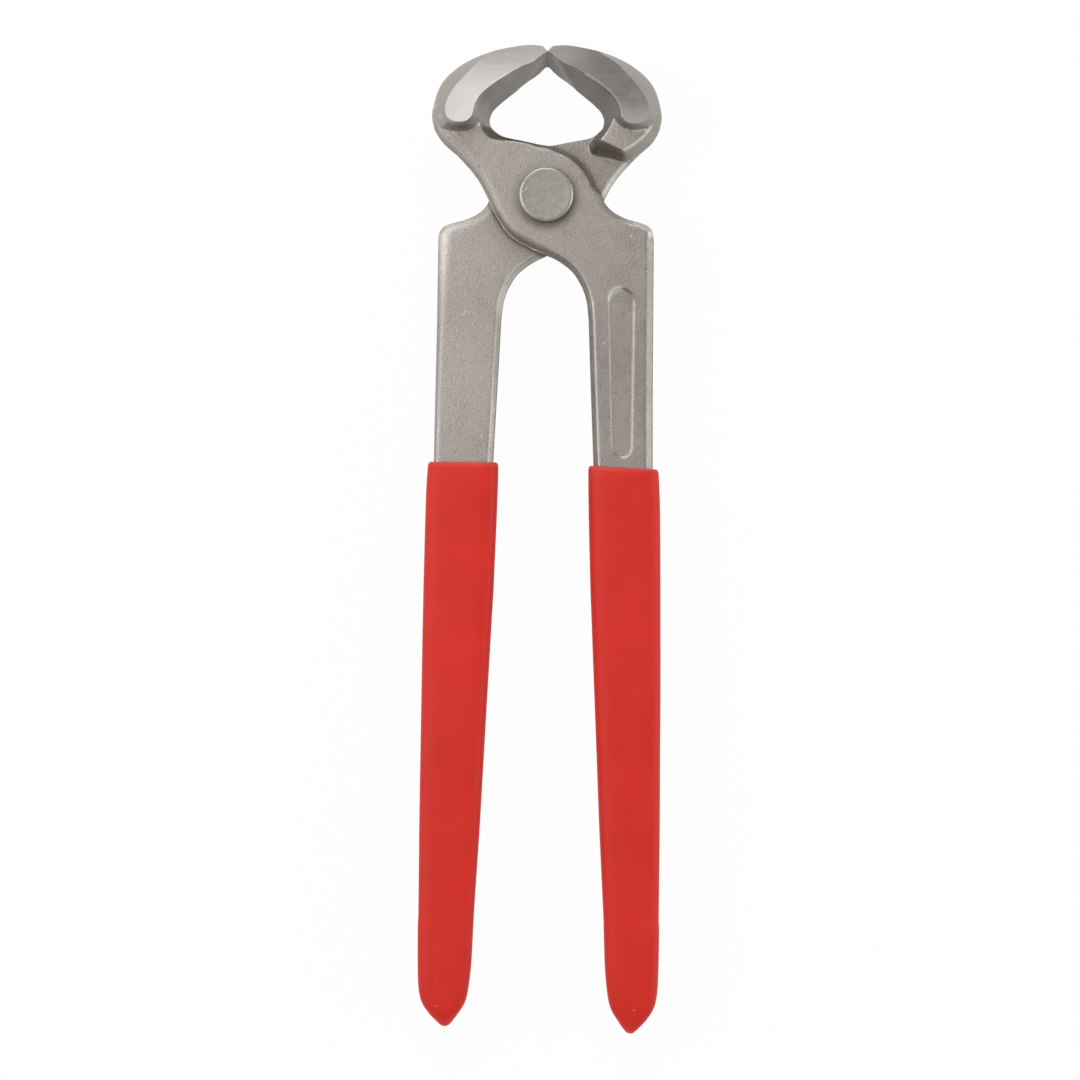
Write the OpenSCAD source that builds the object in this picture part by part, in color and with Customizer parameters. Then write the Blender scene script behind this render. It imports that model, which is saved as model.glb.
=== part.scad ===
// End cutting nippers: two forged levers that cross at one riveted lap joint, with dipped plastic grips.
// The tool lies flat: X runs across it, +Y points along it to the jaws and Z follows the rivet.
// The back faces of the jaws lie on z = 0, and x = y = 0 is the middle of the whole outline.

/* [Head] */
// Distance from the rivet to the top of the closed jaws
jaw_reach = 37.8; // [35:0.1:41]
// Distance from the rivet to the closed cutting edges
edge_reach = 35.9; // [34:0.1:37]
// Width across both closed jaws
head_span = 58.6; // [54:0.1:63]
// Width of the jaws along the rivet
head_width = 25; // [21:0.5:29]
// Length of the land at each cutting edge
edge_land = 0.4; // [0.2:0.1:1]
// Gap between the closed cutting edges
jaw_gap = 0.1; // [0.06:0.02:0.3]

/* [Joint] */
// Radius of the round hub of each lever at the lap face
hub_radius = 12.9; // [12:0.1:13.6]
// Distance of the hub's centre from the rivet's axis
hub_offset = 0.6; // [0:0.1:1]
// Amount that the hub's wall leans in over its height
hub_draft = 0.6; // [0.2:0.1:1.2]
// Thickness of each lever at the joint
plate_thick = 6.3; // [5.4:0.1:7.2]
// Gap between the faces of the two levers
lap_gap = 0.1; // [0.06:0.02:0.3]
// Height that the joint's faces stand proud of the handle's faces
face_step = 0.05; // [0.03:0.01:0.2]
// Radius of the rivet's shank
rivet_radius = 4; // [3:0.1:5]
// Radial play of the rivet in the front lever
rivet_play = 0.05; // [0.02:0.01:0.1]
// Radius of the rivet's heads
rivet_head_radius = 7; // [6:0.1:8]
// Height of the rivet's heads
rivet_head_height = 2; // [1.2:0.1:3]
// Radius of the rounded rim of the rivet's heads
rivet_rim_radius = 0.8; // [0.3:0.1:1.1]
// Gap under the rivet's front head
rivet_head_gap = 0.06; // [0.03:0.01:0.2]

/* [Handles] */
// Distance from the rivet to the tip of the right grip
tail_reach = 213.6; // [190:1:235]
// Width across both closed handles
handle_span = 61.7; // [58:0.1:66]
// Distance from the rivet to where the handles run straight
shoulder_run = 31.5; // [29:0.1:34]
// Width of each handle at the mouth of its grip
shank_width = 15.1; // [13.5:0.1:16.5]
// Thickness of each handle at the mouth of its grip
shank_thick = 8; // [6.6:0.1:10]
// Width of the bevel along the handle's edges
shank_bevel = 1.2; // [0.5:0.1:1.6]
// Width of the bare recessed panel on each handle
panel_width = 6.4; // [4:0.1:8]
// Length of the recessed panel
panel_length = 44; // [30:0.5:46]
// Depth of the recessed panel
panel_depth = 0.4; // [0.2:0.1:1]

/* [Grips] */
// Distance from the rivet to the mouth of the right grip
right_mouth = 69; // [67:0.1:76]
// Distance from the rivet to the mouth of the left grip
left_mouth = 68; // [67:0.1:76]
// Amount by which the left grip's tip ends short of the right one's
left_tip_short = 1.4; // [0:0.1:2]
// Thickness of the plastic on the handle's outer edge
coat_outer = 2; // [1.2:0.1:3]
// Thickness of the plastic on the handle's inner edge
coat_inner = 1.6; // [1.2:0.1:2.6]
// Thickness of the plastic on the handle's faces
coat_face = 1.9; // [1.2:0.1:2.6]
// Thickness of the plastic beyond the handle's end
coat_tip = 6; // [5:0.1:8]
// Radius of the rounded edges of the grips
grip_corner = 3.4; // [2:0.1:4.4]

/* [Hidden] */
$fn = 96;

steel_colour = [0.67, 0.66, 0.64];
rivet_colour = [0.71, 0.70, 0.67];
grip_colour = [0.83, 0.17, 0.15];

// A bevel is at most this share of the handle's thickness deep
bevel_depth_share = 1 / 3;
// A grip's rounded corner takes at most these shares of its width and of half its thickness
corner_limit_shares = [0.45, 0.8];
// Each smooth outline is sampled this many times between two of its points
curve_steps = 4;
// One overrun serves all cuts
cut_over = 1;

jaw_half = head_width / 2;
half_span = head_span / 2;
head_size = [half_span, jaw_reach];
lap_face = lap_gap / 2;
steel_end = tail_reach - coat_tip;
steel_half = handle_span / 2 - coat_outer;
shoulder_size = [steel_half, shoulder_run];
steel_run = steel_end - shoulder_run;

// The jaw of one lever, from its cutting edge to its heel, as shares of half the head's width and of the
// jaws' reach. Each row is one section: its outer and inner point on the mid-plane, then on the jaw's face.
jaw_shares = [
    [[0.055, 0.982], [0.068, 0.880], [0.051, 0.967], [0.065, 0.892]],
    [[0.205, 1.000], [0.178, 0.791], [0.190, 0.968], [0.176, 0.836]],
    [[0.471, 0.982], [0.314, 0.685], [0.400, 0.939], [0.320, 0.786]],
    [[0.727, 0.902], [0.410, 0.627], [0.600, 0.868], [0.461, 0.714]],
    [[0.920, 0.767], [0.474, 0.577], [0.768, 0.741], [0.573, 0.648]],
    [[1.000, 0.580], [0.499, 0.526], [0.875, 0.595], [0.627, 0.566]],
    [[0.990, 0.481], [0.495, 0.492], [0.874, 0.497], [0.645, 0.505]],
    [[0.973, 0.444], [0.488, 0.473], [0.835, 0.467], [0.688, 0.472]]
];

// The heel block on the lap side: points on the mid-plane, then on the plateau behind the jaw's face
heel_shares = [
    [[1.000, 0.550], [0.499, 0.526], [0.908, 0.529], [0.587, 0.542]],
    [[0.973, 0.442], [0.481, 0.468], [0.894, 0.450], [0.560, 0.474]],
    [[0.887, 0.349], [0.433, 0.434], [0.805, 0.376], [0.519, 0.421]],
    [[0.755, 0.264], [0.386, 0.362], [0.672, 0.305], [0.480, 0.366]]
];

// The neck between the jaw and the hub: points on its side wall, then on its flat face
neck_shares = [
    [[0.993, 0.500], [0.500, 0.505], [0.925, 0.490], [0.556, 0.500]],
    [[0.936, 0.392], [0.478, 0.464], [0.872, 0.392], [0.532, 0.458]],
    [[0.782, 0.278], [0.379, 0.414], [0.730, 0.300], [0.400, 0.378]],
    [[0.625, 0.143], [0.205, 0.385], [0.580, 0.167], [0.215, 0.345]],
    [[0.532, 0.024], [0.072, 0.360], [0.491, 0.040], [0.072, 0.322]],
    [[0.454, -0.106], [-0.048, 0.341], [0.416, -0.087], [-0.044, 0.315]],
    [[0.396, -0.180], [-0.143, 0.291], [0.362, -0.164], [-0.133, 0.265]]
];

// The shoulder of the handle from the hub down, as shares of the steel's half width and of the shoulder's
// run: the outer and inner point of each section, then how far its back has moved from the lap face.
shoulder_shares = [
    [[0.367, -0.165], [-0.260, 0.311], 0],
    [[0.437, -0.076], [-0.139, 0.390], 0],
    [[0.489, -0.006], [-0.055, 0.448], 0],
    [[0.530, 0.067], [0.014, 0.479], 0],
    [[0.600, 0.130], [0.094, 0.511], 0],
    [[0.711, 0.181], [0.166, 0.552], 0],
    [[0.839, 0.214], [0.220, 0.592], 0],
    [[0.919, 0.250], [0.264, 0.635], 0],
    [[0.950, 0.314], [0.305, 0.695], 0.04],
    [[0.955, 0.450], [0.338, 0.756], 0.1],
    [[0.956, 0.640], [0.371, 0.857], 0.18]
];

// The straight handle inside and outside its grip: how far along its run, the outer edge as a share of the
// steel's half width, the width as a share of the handle's width, how far its faces have moved from the
// joint's to the grip's, and the taper of its thickness.
handle_shares = [
    [0.000, 0.957, 1.087, 0.28, 1.00],
    [0.100, 0.962, 1.045, 0.64, 1.00],
    [0.208, 0.969, 1.000, 1.00, 1.00],
    [0.387, 0.985, 0.960, 1.00, 1.00],
    [0.560, 0.994, 0.880, 1.00, 0.99],
    [0.740, 0.999, 0.790, 1.00, 0.97],
    [0.880, 1.000, 0.700, 1.00, 0.93],
    [0.945, 0.990, 0.640, 1.00, 0.86],
    [0.980, 0.955, 0.470, 1.00, 0.72],
    [1.000, 0.905, 0.260, 1.00, 0.50]
];

// The rounded mouth of a grip: how far past the mouth, as a share of the outer coat, and its full thickness
mouth_shares = [[0, 0.45], [0.4, 0.75], [1.2, 0.95], [3, 1]];
// Places along the handle's run where the grip's sections stand
grip_station_shares = [0.3, 0.387, 0.56, 0.74, 0.88];
// The end of a grip, as shares of the run from its last station to the tip, of the width there and of
// the thickness there: place, outer edge's retreat, width and thickness
tip_shares = [
    [0.38, 0.01, 0.950, 0.98],
    [0.62, 0.03, 0.880, 0.93],
    [0.76, 0.09, 0.770, 0.84],
    [0.87, 0.22, 0.530, 0.70],
    [0.95, 0.36, 0.290, 0.52],
    [1.00, 0.45, 0.120, 0.32]
];

function between(low, high, share) = low + (high - low) * share;
function flip_y(point) = [point.x, -point.y];
function scaled(point, size) = [point.x * size.x, point.y * size.y];

// A smooth curve through the rows of a list, whose rows may be points or longer lists of numbers
function curve_at(before, start, end, after, t) =
    (2 * start + (end - before) * t
        + (2 * before - 5 * start + 4 * end - after) * pow(t, 2)
        + (3 * start - before - 3 * end + after) * pow(t, 3)) / 2;
function smooth(rows) = [
    for (i = [0 : len(rows) - 2], k = [0 : curve_steps - 1])
        curve_at(rows[max(i - 1, 0)], rows[i], rows[i + 1], rows[min(i + 2, len(rows) - 1)], k / curve_steps),
    rows[len(rows) - 1]
];

// A closed skin over rings that all have the same number of points
module loft(rings) {
    count = len(rings[0]);
    last = len(rings) - 1;
    walls = [
        for (i = [0 : last - 1], k = [0 : count - 1])
            let (a = i * count + k, b = i * count + (k + 1) % count)
                each [[a, a + count, b], [b, a + count, b + count]]
    ];
    first_cap = [for (k = [1 : count - 2]) [0, k, k + 1]];
    last_cap = [for (k = [1 : count - 2]) [last * count, last * count + k + 1, last * count + k]];
    polyhedron(points = [for (ring = rings) each ring], faces = concat(walls, first_cap, last_cap));
}

// A slab between two heights, wide enough to hold the whole head
module slab(low, high) {
    translate([-head_span, -head_span, low])
        cube([2 * head_span, 2 * head_span, high - low]);
}

// A section whose wall leans from its mid-plane points to its face points and runs on past the face
function leaning(middle, face, height) = concat(
    middle + (face - middle) * (height + cut_over) / height,
    height + cut_over
);

// The gripping jaw: both faces are ground flat, so the drafted body is cut to the head's width
function jaw_ring(row) =
    let (outer = [row[0], row[1]], inner = [row[2], row[3]],
        outer_face = leaning(outer, [row[4], row[5]], jaw_half),
        inner_face = leaning(inner, [row[6], row[7]], jaw_half))
    [
        concat(outer, 0), outer_face, inner_face,
        concat(inner, 0), flip_z(inner_face), flip_z(outer_face)
    ];
function flip_z(point) = [point.x, point.y, -point.z];
function flat_row(shares, size) = [for (point = shares) each scaled(point, size)];

module jaw() {
    edge_top = [jaw_gap / 2, edge_reach];
    edge_low = [jaw_gap / 2, edge_reach - edge_land];
    edge_row = concat(edge_top, edge_low, edge_top, edge_low);
    rows = concat([edge_row], [for (shares = jaw_shares) flat_row(shares, head_size)]);
    intersection() {
        loft([for (row = smooth(rows)) jaw_ring(row)]);
        slab(-jaw_half, jaw_half);
    }
}

// The block behind the jaw on the lap side, whose end wall stops the other lever's shoulder
function heel_ring(row) =
    let (outer = [row[0], row[1]], inner = [row[2], row[3]],
        outer_face = leaning(outer, [row[4], row[5]], plate_thick),
        inner_face = leaning(inner, [row[6], row[7]], plate_thick))
    [
        concat(outer, lap_face + cut_over), concat(inner, lap_face + cut_over),
        concat(inner, 0), flip_z(inner_face), flip_z(outer_face), concat(outer, 0)
    ];

module heel() {
    rows = [for (shares = heel_shares) flat_row(shares, head_size)];
    intersection() {
        loft([for (row = smooth(rows)) heel_ring(row)]);
        slab(-plate_thick, plate_thick);
    }
}

// The flat neck that joins the jaw to the hub
function neck_ring(row) =
    let (outer = [row[0], row[1]], inner = [row[2], row[3]], wall = plate_thick / 2,
        outer_face = leaning(outer, [row[4], row[5]], wall),
        inner_face = leaning(inner, [row[6], row[7]], wall))
    [
        concat(outer, -cut_over), concat(outer, wall), outer_face + [0, 0, wall],
        inner_face + [0, 0, wall], concat(inner, wall), concat(inner, -cut_over)
    ];

module neck() {
    rows = [for (shares = neck_shares) flat_row(shares, head_size)];
    intersection() {
        loft([for (row = smooth(rows)) neck_ring(row)]);
        slab(lap_face, plate_thick);
    }
}

// The round hub, set off the rivet's axis towards the crotch
module hub() {
    off = hub_offset * cos(45);
    translate([off, -off, lap_face])
        cylinder(h = plate_thick - lap_face, r1 = hub_radius, r2 = hub_radius - hub_draft);
}

// A section of the handle between an outer and an inner point, with bevelled edges
function handle_ring(outer, inner, low, high, bevel) =
    let (across = (inner - outer) / norm(inner - outer), drop = min(bevel, (high - low) * bevel_depth_share),
        outer_in = outer + across * bevel, inner_in = inner - across * bevel)
    [
        concat(outer, low + drop), concat(outer, high - drop), concat(outer_in, high), concat(inner_in, high),
        concat(inner, high - drop), concat(inner, low + drop), concat(inner_in, low), concat(outer_in, low)
    ];

// The handle's outer edge, inner edge and thickness at a share of its straight run
function handle_y(share) = -between(shoulder_run, steel_end, share);
function handle_outer(share) = steel_half * lookup(share, [for (row = handle_shares) [row[0], row[1]]]);
function handle_width(share) = shank_width * lookup(share, [for (row = handle_shares) [row[0], row[2]]]);
function handle_inner(share) = handle_outer(share) - handle_width(share);
function handle_level(share) = lookup(share, [for (row = handle_shares) [row[0], row[3]]]);
function handle_half(share) = shank_thick / 2 * lookup(share, [for (row = handle_shares) [row[0], row[4]]]);
function run_share(y) = (-y - shoulder_run) / steel_run;

// Near the hub the handle is one plate thick, and at its grip it stands in the middle of the tool
function handle_low(level) = between(lap_face + face_step, -shank_thick / 2, level);
function handle_high(level) = between(plate_thick - face_step, shank_thick / 2, level);

module handle() {
    shoulder_rows = [
        for (row = shoulder_shares) concat(
            flip_y(scaled(row[0], shoulder_size)), flip_y(scaled(row[1], shoulder_size)), row[2], 1
        )
    ];
    straight_rows = [
        for (row = handle_shares)
            [handle_outer(row[0]), handle_y(row[0]), handle_inner(row[0]), handle_y(row[0]), row[3], row[4]]
    ];
    rows = concat(smooth(concat(shoulder_rows, [straight_rows[0]])),
        [for (i = [1 : len(straight_rows) - 1]) straight_rows[i]]);
    loft([
        for (row = rows)
            handle_ring([row[0], row[1]], [row[2], row[3]], handle_low(row[4]) * row[5],
                handle_high(row[4]) * row[5], shank_bevel)
    ]);
}

// The bare recessed panel, sunk square to the handle's sloping face
module panel() {
    panel_end = left_mouth - coat_inner;
    panel_middle = panel_end - panel_length / 2;
    share = run_share(-panel_middle);
    end_share = run_share(-panel_end);
    start_share = max(run_share(panel_length - panel_end), 0);
    slope = atan((handle_high(handle_level(start_share)) - handle_high(handle_level(end_share)))
        / (steel_run * (end_share - start_share)));
    centre_x = handle_outer(share) - handle_width(share) / 2;
    straight = panel_length / 2 - panel_width / 2;
    translate([centre_x, -panel_middle, handle_high(handle_level(share)) - panel_depth])
        rotate([slope, 0, 0])
            linear_extrude(panel_depth + cut_over)
                union() {
                    square([panel_width, 2 * straight], center = true);
                    translate([0, straight])
                        circle(d = panel_width);
                    translate([0, -straight])
                        circle(d = panel_width);
                }
}

module lever_body() {
    mirror([1, 0, 0]) {
        jaw();
        heel();
        neck();
    }
    mirror([1, 0, 0])
        hub();
    handle();
}

// One lever with its hole: the handle stands on +X, the jaw on -X and the lap face looks down
module lever(bore_radius) {
    difference() {
        lever_body();
        cylinder(h = 4 * plate_thick, r = bore_radius, center = true);
        panel();
    }
}

// The dipped grip over the end of one handle
module grip(mouth, reach) {
    last_share = grip_station_shares[len(grip_station_shares) - 1];
    last_y = handle_y(last_share);
    last_outer = handle_outer(last_share) + coat_outer;
    last_width = handle_width(last_share) + coat_outer + coat_inner;
    last_half = handle_half(last_share) + coat_face;
    mouth_rings = [
        for (row = mouth_shares)
            let (y = -mouth - row[0] * coat_outer, share = run_share(y))
                grip_ring(handle_outer(share) + coat_outer * row[1], handle_inner(share) - coat_inner * row[1],
                    y, handle_half(share) + coat_face * row[1])
    ];
    body_rings = [
        for (share = grip_station_shares)
            grip_ring(handle_outer(share) + coat_outer, handle_inner(share) - coat_inner, handle_y(share),
                handle_half(share) + coat_face)
    ];
    tip_rings = [
        for (row = tip_shares)
            let (outer = last_outer - row[1] * last_width)
                grip_ring(outer, outer - row[2] * last_width, between(last_y, -reach, row[0]),
                    last_half * row[3])
    ];
    difference() {
        loft(concat(mouth_rings, body_rings, tip_rings));
        handle();
    }
}

// A section of the grip: a rectangle with rounded corners
function grip_ring(outer, inner, y, half) =
    let (corner = min(grip_corner, corner_limit_shares[0] * (outer - inner), corner_limit_shares[1] * half))
    [
        for (side = [[outer - corner, 1, 0], [inner + corner, 1, 90],
                [inner + corner, -1, 180], [outer - corner, -1, 270]], turn = [0, 45, 90])
            [side[0] + corner * cos(side[2] + turn), y, side[1] * (half - corner) + corner * sin(side[2] + turn)]
    ];

// The rivet: its back head and shank hold the rear lever, and the front lever turns under its front head
module rivet_head() {
    rotate_extrude()
        union() {
            square([rivet_head_radius - rivet_rim_radius, rivet_head_height]);
            square([rivet_head_radius, rivet_head_height - rivet_rim_radius]);
            translate([rivet_head_radius - rivet_rim_radius, rivet_head_height - rivet_rim_radius])
                circle(r = rivet_rim_radius);
        }
}

module rivet() {
    translate([0, 0, -plate_thick])
        cylinder(h = 2 * plate_thick + rivet_head_gap, r = rivet_radius);
    translate([0, 0, plate_thick + rivet_head_gap])
        rivet_head();
    translate([0, 0, -plate_thick])
        mirror([0, 0, 1])
            rivet_head();
}

// Puts what was drawn about the rivet into the frame of the whole tool
module placed() {
    translate([0, (tail_reach - jaw_reach) / 2, jaw_half])
        children();
}

module front_lever() {
    color(steel_colour)
        placed()
            lever(rivet_radius + rivet_play);
}

// The same forging turned over
module rear_lever() {
    color(steel_colour)
        placed()
            rotate([0, 180, 0])
                lever(rivet_radius);
}

module pivot_rivet() {
    color(rivet_colour)
        placed()
            rivet();
}

module right_grip() {
    color(grip_colour)
        placed()
            grip(right_mouth, tail_reach);
}

module left_grip() {
    color(grip_colour)
        placed()
            rotate([0, 180, 0])
                grip(left_mouth, tail_reach - left_tip_short);
}

front_lever();
rear_lever();
pivot_rivet();
right_grip();
left_grip();
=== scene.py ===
"""End cutting nippers: forged levers, their rivet and their dipped grips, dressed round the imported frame."""
import logging
import math
from dataclasses import dataclass
from enum import Enum
from functools import cache

import bmesh
import bpy
import numpy as np
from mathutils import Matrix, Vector, kdtree
from mathutils.geometry import delaunay_2d_cdt


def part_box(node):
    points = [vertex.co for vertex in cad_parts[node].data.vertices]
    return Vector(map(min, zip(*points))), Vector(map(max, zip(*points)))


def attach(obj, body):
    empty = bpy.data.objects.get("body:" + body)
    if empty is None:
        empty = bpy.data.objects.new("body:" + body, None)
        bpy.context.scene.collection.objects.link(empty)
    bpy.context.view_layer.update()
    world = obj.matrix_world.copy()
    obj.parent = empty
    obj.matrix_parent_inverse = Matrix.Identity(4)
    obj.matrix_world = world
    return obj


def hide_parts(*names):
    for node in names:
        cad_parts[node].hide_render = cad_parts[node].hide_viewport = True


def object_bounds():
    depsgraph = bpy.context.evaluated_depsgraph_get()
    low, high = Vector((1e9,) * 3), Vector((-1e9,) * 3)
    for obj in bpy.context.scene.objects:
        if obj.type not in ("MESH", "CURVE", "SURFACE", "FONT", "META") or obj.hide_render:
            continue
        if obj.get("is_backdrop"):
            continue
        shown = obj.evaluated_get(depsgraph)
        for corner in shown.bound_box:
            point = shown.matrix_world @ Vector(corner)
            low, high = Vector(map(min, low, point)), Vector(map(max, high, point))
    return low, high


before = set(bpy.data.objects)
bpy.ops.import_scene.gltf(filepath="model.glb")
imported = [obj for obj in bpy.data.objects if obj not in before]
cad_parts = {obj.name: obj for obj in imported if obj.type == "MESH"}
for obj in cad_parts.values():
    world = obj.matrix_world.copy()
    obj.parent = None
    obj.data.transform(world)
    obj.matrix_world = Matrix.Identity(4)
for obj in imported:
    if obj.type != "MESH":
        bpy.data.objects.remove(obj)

MM = 0.001
Array = np.ndarray
Socket = bpy.types.NodeSocket
Pair = tuple[float, float]
Triple = tuple[float, float, float]
Row = tuple[float, ...]
Rows = tuple[Row, ...]
LOG = logging.getLogger("nippers")


def smooth_curve(rows: Array, steps: int) -> Array:
    """Runs a smooth curve through rows of numbers.

    Args:
        rows: The rows that the curve passes through.
        steps: How many samples stand between two rows.
    Returns:
        The sampled rows, ends included.
    """
    rows = np.asarray(rows, float)
    last = len(rows) - 1
    samples = []
    for i in range(last):
        before, start, end, after = rows[max(i - 1, 0)], rows[i], rows[i + 1], rows[min(i + 2, last)]
        for t in np.arange(steps) / steps:
            samples.append((2 * start + (end - before) * t
                            + (2 * before - 5 * start + 4 * end - after) * t ** 2
                            + (3 * start - before - 3 * end + after) * t ** 3) / 2)
    samples.append(rows[last])
    return np.array(samples)


def spaced(line: Array, spacing: float) -> Array:
    """Resamples a line at an even spacing.

    Args:
        line: The points of an open line.
        spacing: The wanted distance between two points.
    Returns:
        The new points, with both ends kept.
    """
    lengths = np.concatenate([[0.0], np.cumsum(np.linalg.norm(np.diff(line, axis=0), axis=1))])
    count = max(int(round(lengths[-1] / spacing)), 1) + 1
    places = np.linspace(0.0, lengths[-1], count)
    return np.column_stack([np.interp(places, lengths, line[:, k]) for k in range(line.shape[1])])


@dataclass
class Border:
    """Short straight pieces that distances are measured to."""

    starts: Array
    ends: Array
    near: int = 4

    def __post_init__(self) -> None:
        """Sorts the pieces for a quick search."""
        self.tree = kdtree.KDTree(len(self.starts))
        for k, (x, y) in enumerate((self.starts + self.ends) / 2):
            self.tree.insert((x, y, 0.0), k)
        self.tree.balance()

    @classmethod
    def along(cls, line: Array) -> "Border":
        """Makes a border from an open line, cut into short pieces."""
        cut = [spaced(np.array(pair), 0.5) for pair in zip(line[:-1], line[1:])]
        dense = np.vstack([piece[:-1] for piece in cut] + [line[-1:]])
        return cls(dense[:-1], dense[1:])

    def distance(self, points: Array) -> Array:
        """Measures how far each point lies from the border."""
        count = min(self.near, len(self.starts))
        found = np.array([[hit[1] for hit in self.tree.find_n((x, y, 0.0), count)] for x, y in points])
        best = np.full(len(points), np.inf)
        for k in range(count):
            start = self.starts[found[:, k]]
            span = self.ends[found[:, k]] - start
            away = points - start
            t = np.clip((away * span).sum(axis=1) / np.maximum((span * span).sum(axis=1), 1e-12), 0.0, 1.0)
            best = np.minimum(best, np.hypot(*(away - t[:, None] * span).T))
        return best


def distance_to(points: Array, line: Array) -> Array:
    """Measures how far each point lies from an open line."""
    return Border.along(line).distance(points)


def inside(points: Array, outline: Array) -> Array:
    """Tells which points lie inside a closed outline.

    Args:
        points: The points to test.
        outline: The outline's points, its first one not repeated.
    Returns:
        One truth value for each point.
    """
    x, y = points.T
    found = np.zeros(len(points), bool)
    for (x1, y1), (x2, y2) in zip(outline, np.roll(outline, -1, axis=0)):
        if y1 == y2:
            continue
        crosses = ((y1 > y) != (y2 > y)) & (x < (x2 - x1) * (y - y1) / (y2 - y1) + x1)
        found ^= crosses
    return found


def closed(outline: Array) -> Array:
    """Repeats the first point of an outline at its end."""
    return np.vstack([outline, outline[:1]])


def smooth_step(low: float, high: float, value: Array) -> Array:
    """Rises smoothly from 0 at low to 1 at high."""
    t = np.clip((value - low) / (high - low), 0.0, 1.0)
    return t * t * (3.0 - 2.0 * t)


def soft_max(first: Array, second: Array, radius: float) -> Array:
    """Takes the larger of two heights with a fillet where they meet."""
    near = np.clip(radius - np.abs(first - second), 0.0, None) / radius
    return np.maximum(first, second) + near * near * radius / 4.0


@dataclass(frozen=True)
class Band:
    """A soft line: strongest where a value meets its middle, gone a few widths off it."""

    middle: float
    width: float

    def at(self, value: Array) -> Array:
        """Gives the line's strength, from 0 to 1."""
        return np.exp(-((value - self.middle) / self.width) ** 2)


@dataclass(frozen=True)
class Fade:
    """A smooth change: nothing at one value, everything at another."""

    none: float
    full: float

    def at(self, value: Array) -> Array:
        """Gives the share, from 0 to 1."""
        return smooth_step(self.none, self.full, value)


def spots(x: Array, y: Array, rows: Rows) -> Array:
    """Gives the strongest of some soft round spots, each with its x, y, reach and strength."""
    return np.maximum.reduce([strength * np.exp(-(np.hypot(x - a, y - b) / reach) ** 2)
                              for a, b, reach, strength in rows])


@dataclass(frozen=True)
class Region:
    """A closed area of the plan, in millimetres about the rivet."""

    outline: Array

    def depth(self, points: Array) -> Array:
        """Gives each point's distance inside the outline, negative outside it."""
        away = distance_to(points, closed(self.outline))
        return np.where(inside(points, self.outline), away, -away)

    def rise_to(self, top: "Region", points: Array) -> Array:
        """Gives the share of the way from this outline up to a smaller one.

        Args:
            top: The smaller outline, where the share is 1.
            points: The points to place.
        Returns:
            A share for each point, negative outside this outline.
        """
        foot_depth, top_depth = self.depth(points), top.depth(points)
        share = foot_depth / np.maximum(foot_depth - top_depth, 1e-9)
        return np.where(top_depth >= 0.0, 1.0, np.where(foot_depth <= 0.0, foot_depth, share))


class Turn(Enum):
    """Which way up a lever or its grip lies."""

    FRONT = 1.0
    REAR = -1.0


class Side(Enum):
    """The two sides of a lever's forging."""

    OUTER = 0
    LAP = 1


@dataclass(frozen=True)
class ToolFrame:
    """Where the rivet stands in the frame of the whole tool."""

    pivot_y: float
    pivot_z: float

    def place(self, points: Array, turn: Turn) -> Array:
        """Moves points from a lever's own frame into the tool's.

        Args:
            points: Points in millimetres about the rivet.
            turn: Which way up the lever lies.
        Returns:
            Points in metres.
        """
        side = np.array([turn.value, 1.0, turn.value])
        return (points * side + np.array([0.0, self.pivot_y, self.pivot_z])) * MM


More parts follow.
